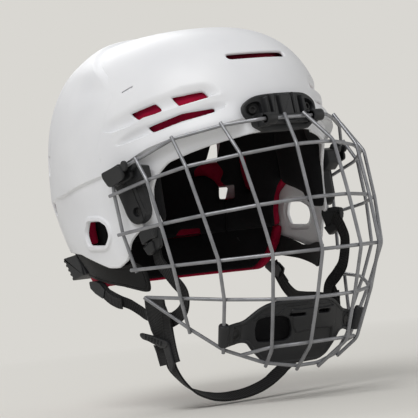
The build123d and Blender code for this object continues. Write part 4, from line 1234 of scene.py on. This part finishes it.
def make_side_clips():
    """The plate on each side of the front shell, its screw and the block over the frame wire."""
    p = GRID_POINTS
    field = side_field(p, PLATE, 3.0)
    crease = p[:, 1] - np.interp(p[:, 2], PLATE_CREASE_Z, PLATE_CREASE_Y)
    screws = []
    for side, sign in SIDES:
        place, normal = side_spot(sign, *PLATE_SCREW)
        s = Sheet(*DOME, edge=np.minimum(field, sign * p[:, 0] - 30),
                  crease=crease, hole=np.linalg.norm(p - place, axis=1))
        s.trim({"edge": (0.35, 1.1), "crease": (-1.6, -1.2, 1.0, 1.4, 1.6, 2.1, 2.4),
                "hole": (3.8, 3.4)}, 0.03)
        c, hole = s["crease"], s["hole"]
        h = 3.2 - 3.0 * np.clip(-(c + 1.2) / 8.0, 0, 1)
        h = h + 0.9 * smooth(-1.6, -1.2, c) * smooth(1.4, 1.0, c)
        h = h - 0.5 * smooth(1.4, 1.6, c) * smooth(2.4, 2.1, c)
        h = h * smooth(3.4, 3.8, hole) + 0.5 * smooth(3.8, 3.4, hole)
        plate = s.skin(h - round_over(s["edge"], 1.1), -5.4)
        fitted(joined(f"side_plate_moulded_{side}", [plate], BLACK, 28.0), "helmet",
               "hardware_black", f"side_plate_{side}")
        # the screw head sits low in the plate's shallow hole, and its darkened colour is painted
        # shade for a deeper hole
        screws.append(turned([(3.2, 0.2), (3.3, 0.6), (3.3, 0.9), (2.8, 1.1), (1.6, 1.1),
                              (1.5, 0.7), (0.3, 0.6)], place, normal))
        out = sideways(sign)
        parts = [slab(LATCH, 92, 99.3, out, 0.9, 2.0), slab(LATCH, 103.9, 106.2, out, 0.8, 2.0),
                 slab(LATCH_ROOF, 98.5, 104.6, out, 0.4, 0.8),
                 slab(LATCH_FOOT, 84, 95.5, out, 0.9, 1.6),
                 barrel([sign * 96.4, -47.6, -2.9], (1, 0, 0), 4.0, 3.0),
                 barrel([sign * 104.0, -47.6, -2.9], (1, 0, 0), 4.0, 1.2)]
        fitted(joined(f"side_latch_moulded_{side}", parts, BLACK), "helmet", "hardware_black",
               f"side_latch_{side}")
    fitted(joined("side_screw_heads", screws, SCREW), "helmet", "screw_dark", "side_screws")


# the loop that carries the front strap, from the side
ANCHOR_TOP = [(-35, -49.6), (-33.6, -53.6), (-37.2, -62.8), (-48.4, -59.2), (-57.4, -58.6),
              (-57.8, -50.4), (-50, -49.0)]
ANCHOR_FACET = [(-48.8, -50.4), (-48.2, -60.0), (-52.4, -67.6), (-58.8, -65.2), (-58.6, -51.6)]
ANCHOR_LOOP = [(-36.3, -64.3), (-42.4, -71.0), (-52.6, -67.8), (-50.6, -60.4), (-48.4, -60.4)]
ANCHOR_BASE = [(-38, -52), (-57, -52), (-57, -66), (-44, -69), (-38.6, -63)]


def make_anchors():
    """The two-part loop on each side that carries the front strap."""
    for side, sign in SIDES:
        out = sideways(sign)
        parts = [slab(ANCHOR_TOP, 85.2, 89.4, out, 0.8, 1.6),
                 slab(ANCHOR_LOOP, 84.0, 88.6, out, 0.8), slab(ANCHOR_FACET, 84.4, 87.4, out, 0.7),
                 slab(ANCHOR_BASE, 84.2, 85.8, out, 0.5),
                 barrel([sign * 87.4, -55.0, -54.9], (1, 0, 0), 2.3, 2.6)]
        fitted(joined(f"strap_anchor_moulded_{side}", parts, BLACK), "helmet", "hardware_black",
               f"strap_anchor_{side}")


# ridged bar and leg of the chin buckle, from the side
BUCKLE_BAR = [(-13.6, -128.6), (-31, -131.6), (-49.2, -136.0), (-50.6, -138.6), (-46.6, -140.9),
              (-40.6, -141.2), (-24, -135.4), (-16.4, -133.6), (-13.2, -131.2)]
BUCKLE_LEG = [(-46.4, -136.2), (-50.0, -136.8), (-54.0, -152.6), (-50.4, -159.4), (-47.6, -158.0),
              (-42.0, -140.6)]


def make_buckle():
    """The ladder buckle of the chin strap: a ridged bar across it and a leg down its front."""
    out = sideways(-1)
    parts = [slab(BUCKLE_BAR, 81.8, 84.8, out, 0.7, 1.4),
             slab(BUCKLE_LEG, 81.6, 84.0, out, 0.7, 1.2)]
    for y in np.arange(-21.0, -45.0, -4.0):
        z = -131.4 + (y + 21) * 0.245
        tooth = [(y, z + 0.9), (y - 1.5, z + 0.6), (y - 0.3, z - 2.9), (y + 1.2, z - 2.6)]
        parts.append(slab(tooth, 84.2, 85.4, out, 0.35, 0.5))
    parts.append(slab([(-22, -138.5), (-41, -143.5), (-46.5, -155.5), (-34, -152.4), (-26, -147)],
                      78.6, 79.2, out, 0.2, 1.0))
    fitted(joined("chin_buckle_moulded", parts, BLACK), "strap", "hardware_black", "chin_buckle")


# block at each side of the neck, and the lower step along its front
NAPE_BLOCK = [(81.3, -65.9), (61.4, -63.8), (55.6, -72.2), (54.0, -80.4), (68.7, -84.1)]
NAPE_EDGE = [(60.6, -63.5), (50.9, -79.4), (53.4, -80.9), (62.0, -66.4)]


def make_nape_blocks():
    """The tilted block on each side of the neck, toothed along its rear edge."""
    first, last = np.array(NAPE_BLOCK[0]), np.array(NAPE_BLOCK[-1])
    along = (last - first) / np.linalg.norm(last - first)
    out_way = np.array([-along[1], along[0]])
    for side, sign in SIDES:
        out = sideways(sign)
        parts = [slab(NAPE_BLOCK, 70.0, 87.0, out, 0.9, 1.4),
                 slab(NAPE_EDGE, 72.0, 86.0, out, 0.5, 0.8)]
        for k in range(5):
            at = first + along * (2.2 + 4.4 * k)
            tooth = [at + along * 1.3 - out_way, at + along * 1.0 + out_way * 1.7,
                     at - along * 1.0 + out_way * 1.7, at - along * 1.3 - out_way]
            parts.append(slab([tuple(q) for q in tooth], 71.0, 86.4, out, 0.4, 0.5))
        fitted(joined(f"nape_block_moulded_{side}", parts, BLACK), "rear", "hardware_black",
               f"nape_block_{side}")


def make_rivets():
    """The two short rivets that join the straps, under the chin strap."""
    parts = [barrel([sign * 76.7, -46.0, -121.0], (1, 0, 0), 2.8, 2.9) for sign in (1, -1)]
    fitted(joined("strap_rivets", parts, SCREW), "helmet", "screw_dark", "strap_pins")


make_mount()
make_side_clips()
make_anchors()
make_buckle()
make_nape_blocks()
make_rivets()


# chin cup

# The cup is drawn flat, as (across, up), then bent to an arc, tilted and put in its place.
CUP_ARC = 150.0
CUP_TILT = math.radians(18.0)
CUP_AT = (0.0, 43.0, -89.7)
CUP = (arch([(-60.5, 3.6), (-55, 5.6), (-48, 7.4), (-43, 11.2), (-37.6, 15.6), (-32.6, 18.6),
             (-26.8, 20.8), (-18, 22.2)])
       + arch([(60.5, -12.8), (49, -8.8), (44.5, -9.2), (38.6, -16.6), (30, -24.6), (22, -27.8)]))
CUP_MOUTH = [(-37, 8.6), (-28, 10.4), (-17, 10.6), (-10, 8), (-7.5, 1), (-7.2, -6.5),
             (-12, -8.9), (-36.5, -8.6), (-38.4, 0)]
CUP_LINE = [(-40, 8.8), (-36, 11.2), (-29.4, 12.4), (-19.2, 12.9), (-15.6, 16.6), (-13, 17.9),
            (8, 17.9), (31, 15.6), (34.5, 12.5)]
CUP_PANEL = [(-8.8, 15.0), (34.8, 12.6), (36.4, -4.2), (14.3, -1.6), (-3.4, -3.6), (-6.8, 3.0)]
CUP_SHELF = [(-4.8, -4.6), (14.3, -2.6), (35.4, -5.4), (34.6, -14.2), (-4.0, -13.8)]
CUP_VENTS = [[(-10, 9.6), (-9.4, 11.8), (3.6, 11.4), (4.8, 9.2)],
             [(17, 9.4), (17.6, 12.2), (29.4, 11.2), (28.6, 8.6)]]
# ends of the upright wire that each grip holds, on the wearer's left
WIRE_LOW, WIRE_HIGH = np.array([60.1, -85.8, -147.9]), np.array([68.3, -106.2, -110.2])
CUP_PAD = [(-33, 12), (-17, 18.6), (17, 18.6), (33, 12), (36, 0), (28, -16.5), (14, -22.5),
           (-14, -22.5), (-28, -16.5), (-40, -9.4), (-40, 4)]


def cup_place(p, w):
    """From the chin cup's own (across, up, out) to the helmet's frame."""
    turn = p[:, 0] / (CUP_ARC + 3)
    reach = CUP_ARC + w
    x, y, z = reach * np.sin(turn), -reach * np.cos(turn), p[:, 1]
    c, s = math.cos(CUP_TILT), math.sin(CUP_TILT)
    return np.stack([x + CUP_AT[0], y * c - z * s + CUP_AT[1], y * s + z * c + CUP_AT[2]], -1)


def flat_grid(half, low, high, step):
    """Even rows and columns over a flat area, as points and triangles."""
    xs = np.arange(-half, half + step, step)
    zs = np.arange(low, high + step, step)
    x, z = np.meshgrid(xs, zs)
    return flat_point(x.ravel(), z.ravel()), np.array(halved(quads(len(zs), len(xs), 0, False)))


def make_chin_cup():
    """The moulded cup on its two wires, with an open mouth over the pad and two slots."""
    p, faces = flat_grid(62.0, -30.0, 24.0, 1.15)
    body = flat_field(p, CUP, 3.0)
    holes = [-flat_field(p, CUP_MOUTH, 3.0)] + [-flat_field(p, v, 0.8) for v in CUP_VENTS]
    edge = np.minimum(body, np.min(holes, axis=0))
    seam = np.minimum(np.abs(p[:, 0] + 49), np.abs(p[:, 0] - 38.5))
    s = Sheet(p, 0 * p, faces, edge=edge, line=flat_line(p, CUP_LINE),
              panel=flat_field(p, CUP_PANEL, 1.6), shelf=flat_field(p, CUP_SHELF, 1.6),
              seam=seam, body=body)
    s.trim({"edge": (0.4, 1.0), "line": (0.9,), "panel": (-0.5, 0.4), "shelf": (-0.3, 0.5),
            "seam": (0.5,), "body": (2.0, 2.8)}, 0.03)
    h = 3.0 + 0.7 * smooth(2.8, 2.0, s["body"]) + 0.9 * np.clip(1 - s["line"] / 0.9, 0, 1)
    h = h + 1.3 * smooth(-0.5, 0.4, s["panel"]) - 1.3 * smooth(-0.3, 0.5, s["shelf"])
    h = h - 0.6 * np.clip(1 - s["seam"] / 0.5, 0, 1) * smooth(2.0, 2.8, s["body"])
    h = h - 0.7 * smooth(47, 50, np.abs(s.data[:, 0]))
    flat = s.data[:, :2]
    shell = walled(cup_place(flat, h - round_over(s["edge"], 1.0)),
                   cup_place(flat, 0.2 + round_over(s["edge"], 0.4)), s.faces)
    fitted(joined("chin_cup_moulded", [shell], CUP_FINISH, 30.0), "cage", "cup_grey", "chin_cup")


def make_chin_pad():
    """The cushion behind the cup, dished where the mouth shows it."""
    p, faces = flat_grid(43.0, -25.0, 21.0, 1.6)
    edge = flat_field(p, CUP_PAD, 4.0)
    mouth = flat_field(p, CUP_MOUTH, 3.0)
    s = Sheet(p, 0 * p, faces, edge=edge, mouth=mouth)
    s.trim({"edge": SOFT_STEPS})
    d, flat = s["edge"], s.data[:, :2]
    dish = 2.6 * smooth(-1.0, 9.0, s["mouth"])
    swell = 3.0 + 3.6 * dome_share(d, 12)
    skin = walled(cup_place(flat, -0.4 - dish - round_over(d, 1.2)),
                  cup_place(flat, -0.4 - swell + round_over(d, 1.5)), s.faces)
    piece = fitted(solid("chin_pad_cushion", *skin, CUP_FOAM, 0), "cage", "cup_pad_dark",
                   "cup_pad")


def make_cup_fixings():
    """The snap at each end of the cup, and the grip that holds it to an upright wire."""
    snaps, grips = [], []
    for sign in (1, -1):
        spot = cup_place(np.array([[sign * 54.6, -2.2]]), 2.2)[0]
        normal = cup_place(np.array([[sign * 54.6, -2.2]]), 3.2)[0] - spot
        snaps.append(turned([(4.8, -0.6), (4.8, 0.3), (4.4, 0.8), (3.5, 0.9), (3.2, 0.5),
                             (2.4, 0.6), (1.6, 1.3), (0.4, 1.6)], spot, normal))
        low, high = WIRE_LOW * [sign, 1, 1], WIRE_HIGH * [sign, 1, 1]
        centre = high + (low - high) * 0.68
        grips.append(barrel(centre, high - low, 4.0, 9.0, 1.2))
        ear = [(sign * 55, 5.0), (sign * 62.5, 3.4), (sign * 62.5, -13.6), (sign * 55, -10.4)]
        grips.append(slab(ear, 0.4, 3.6, cup_place, 0.8, 1.2))
    fitted(joined("chin_cup_snaps", snaps, SCREW), "cage", "screw_dark", "cup_snaps")
    fitted(joined("chin_cup_grips", grips, CUP_FINISH), "cage", "cup_grey", "cup_grips")


make_chin_cup()
make_chin_pad()
make_cup_fixings()


# stage, light and camera

BACKGROUND = "D9D7D2"


def area_light(name, place, target, size, power):
    lamp = bpy.data.lights.new(name, "AREA")
    lamp.shape = "DISK"
    lamp.size = size
    lamp.energy = power
    lamp.color = linear("FFFFFF")[:3]
    rig = bpy.data.objects.new(name, lamp)
    bpy.context.collection.objects.link(rig)
    rig.location = place
    rig.rotation_mode = "QUATERNION"
    rig.rotation_quaternion = (Vector(target) - Vector(place)).to_track_quat("-Z", "Y")


def pale_floor():
    """A wide floor just below the helmet that fades into the pale background."""
    material, tree, base, place = start_material("studio_floor_pale")
    add(tree, base, {"Base Color": linear("DEDCD7"), "Roughness": 0.9}, {})
    far = add(tree, "ShaderNodeEmission", {"Color": linear(BACKGROUND)}, {})
    away = add(tree, "ShaderNodeVectorMath", {}, {0: place.outputs["Object"]},
               operation="LENGTH")
    fade = add(tree, "ShaderNodeMapRange",
               {"From Min": 0.35, "From Max": 1.3, "To Min": 0.0, "To Max": 1.0},
               {"Value": away.outputs["Value"]})
    blend = add(tree, "ShaderNodeMixShader", {},
                {"Fac": fade.outputs["Result"], 1: base.outputs["BSDF"],
                 2: far.outputs["Emission"]})
    add(tree, tree.nodes["Material Output"], {}, {"Surface": blend.outputs["Shader"]})
    mesh = bpy.data.meshes.new("studio_floor")
    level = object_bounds()[0].z - 0.002
    corners = [(-6, -6, level), (6, -6, level), (6, 6, level), (-6, 6, level)]
    mesh.from_pydata(corners, [], [(0, 1, 2, 3)])
    mesh.materials.append(material)
    floor = bpy.data.objects.new("studio_floor", mesh)
    bpy.context.collection.objects.link(floor)


# camera: its place in metres, the directions of its picture and its focal length in pixels
CAMERA_AT = (-1.05636, -1.51097, -0.07205)
RIGHT = (0.81510596, -0.56835805, -0.11212223)
UP = (0.08194071, -0.07848535, 0.99354203)
AHEAD = (0.57348757, 0.81902941, 0.01740222)
FOCAL_PIXELS, PICTURE_PIXELS, SENSOR = 2350.0, 418.0, 36.0


def make_camera():
    lens = bpy.data.cameras.new("camera")
    lens.sensor_width = SENSOR
    lens.lens = FOCAL_PIXELS / PICTURE_PIXELS * SENSOR
    camera = bpy.data.objects.new("camera", lens)
    bpy.context.collection.objects.link(camera)
    turn = Matrix((Vector(RIGHT), Vector(UP), -Vector(AHEAD))).transposed().to_4x4()
    camera.matrix_world = Matrix.Translation(Vector(CAMERA_AT)) @ turn
    bpy.context.scene.camera = camera


pale_floor()
make_camera()
area_light("key", (-0.95, -0.5, 1.3), (0, 0, 0), 1.0, 16.0)
area_light("fill", (0.95, -1.1, 0.35), (0, 0, -0.03), 1.0, 2.2)
area_light("back", (0.3, 1.1, 0.9), (0, 0, 0), 0.8, 6.0)

# The sky lights the helmet softly, and shows as the pale background.
world = bpy.data.worlds.new("studio_world")
world.use_nodes = True
sky = world.node_tree
glow = add(sky, sky.nodes["Background"], {"Color": linear("F4F3F0"), "Strength": 0.4}, {})
seen = add(sky, "ShaderNodeBackground", {"Color": linear(BACKGROUND)}, {})
rays = add(sky, "ShaderNodeLightPath", {}, {})
choice = add(sky, "ShaderNodeMixShader", {},
             {"Fac": rays.outputs["Is Camera Ray"], 1: glow.outputs["Background"],
              2: seen.outputs["Background"]})
add(sky, sky.nodes["World Output"], {}, {"Surface": choice.outputs["Shader"]})
bpy.context.scene.world = world
bpy.context.scene.view_settings.view_transform = "Standard"
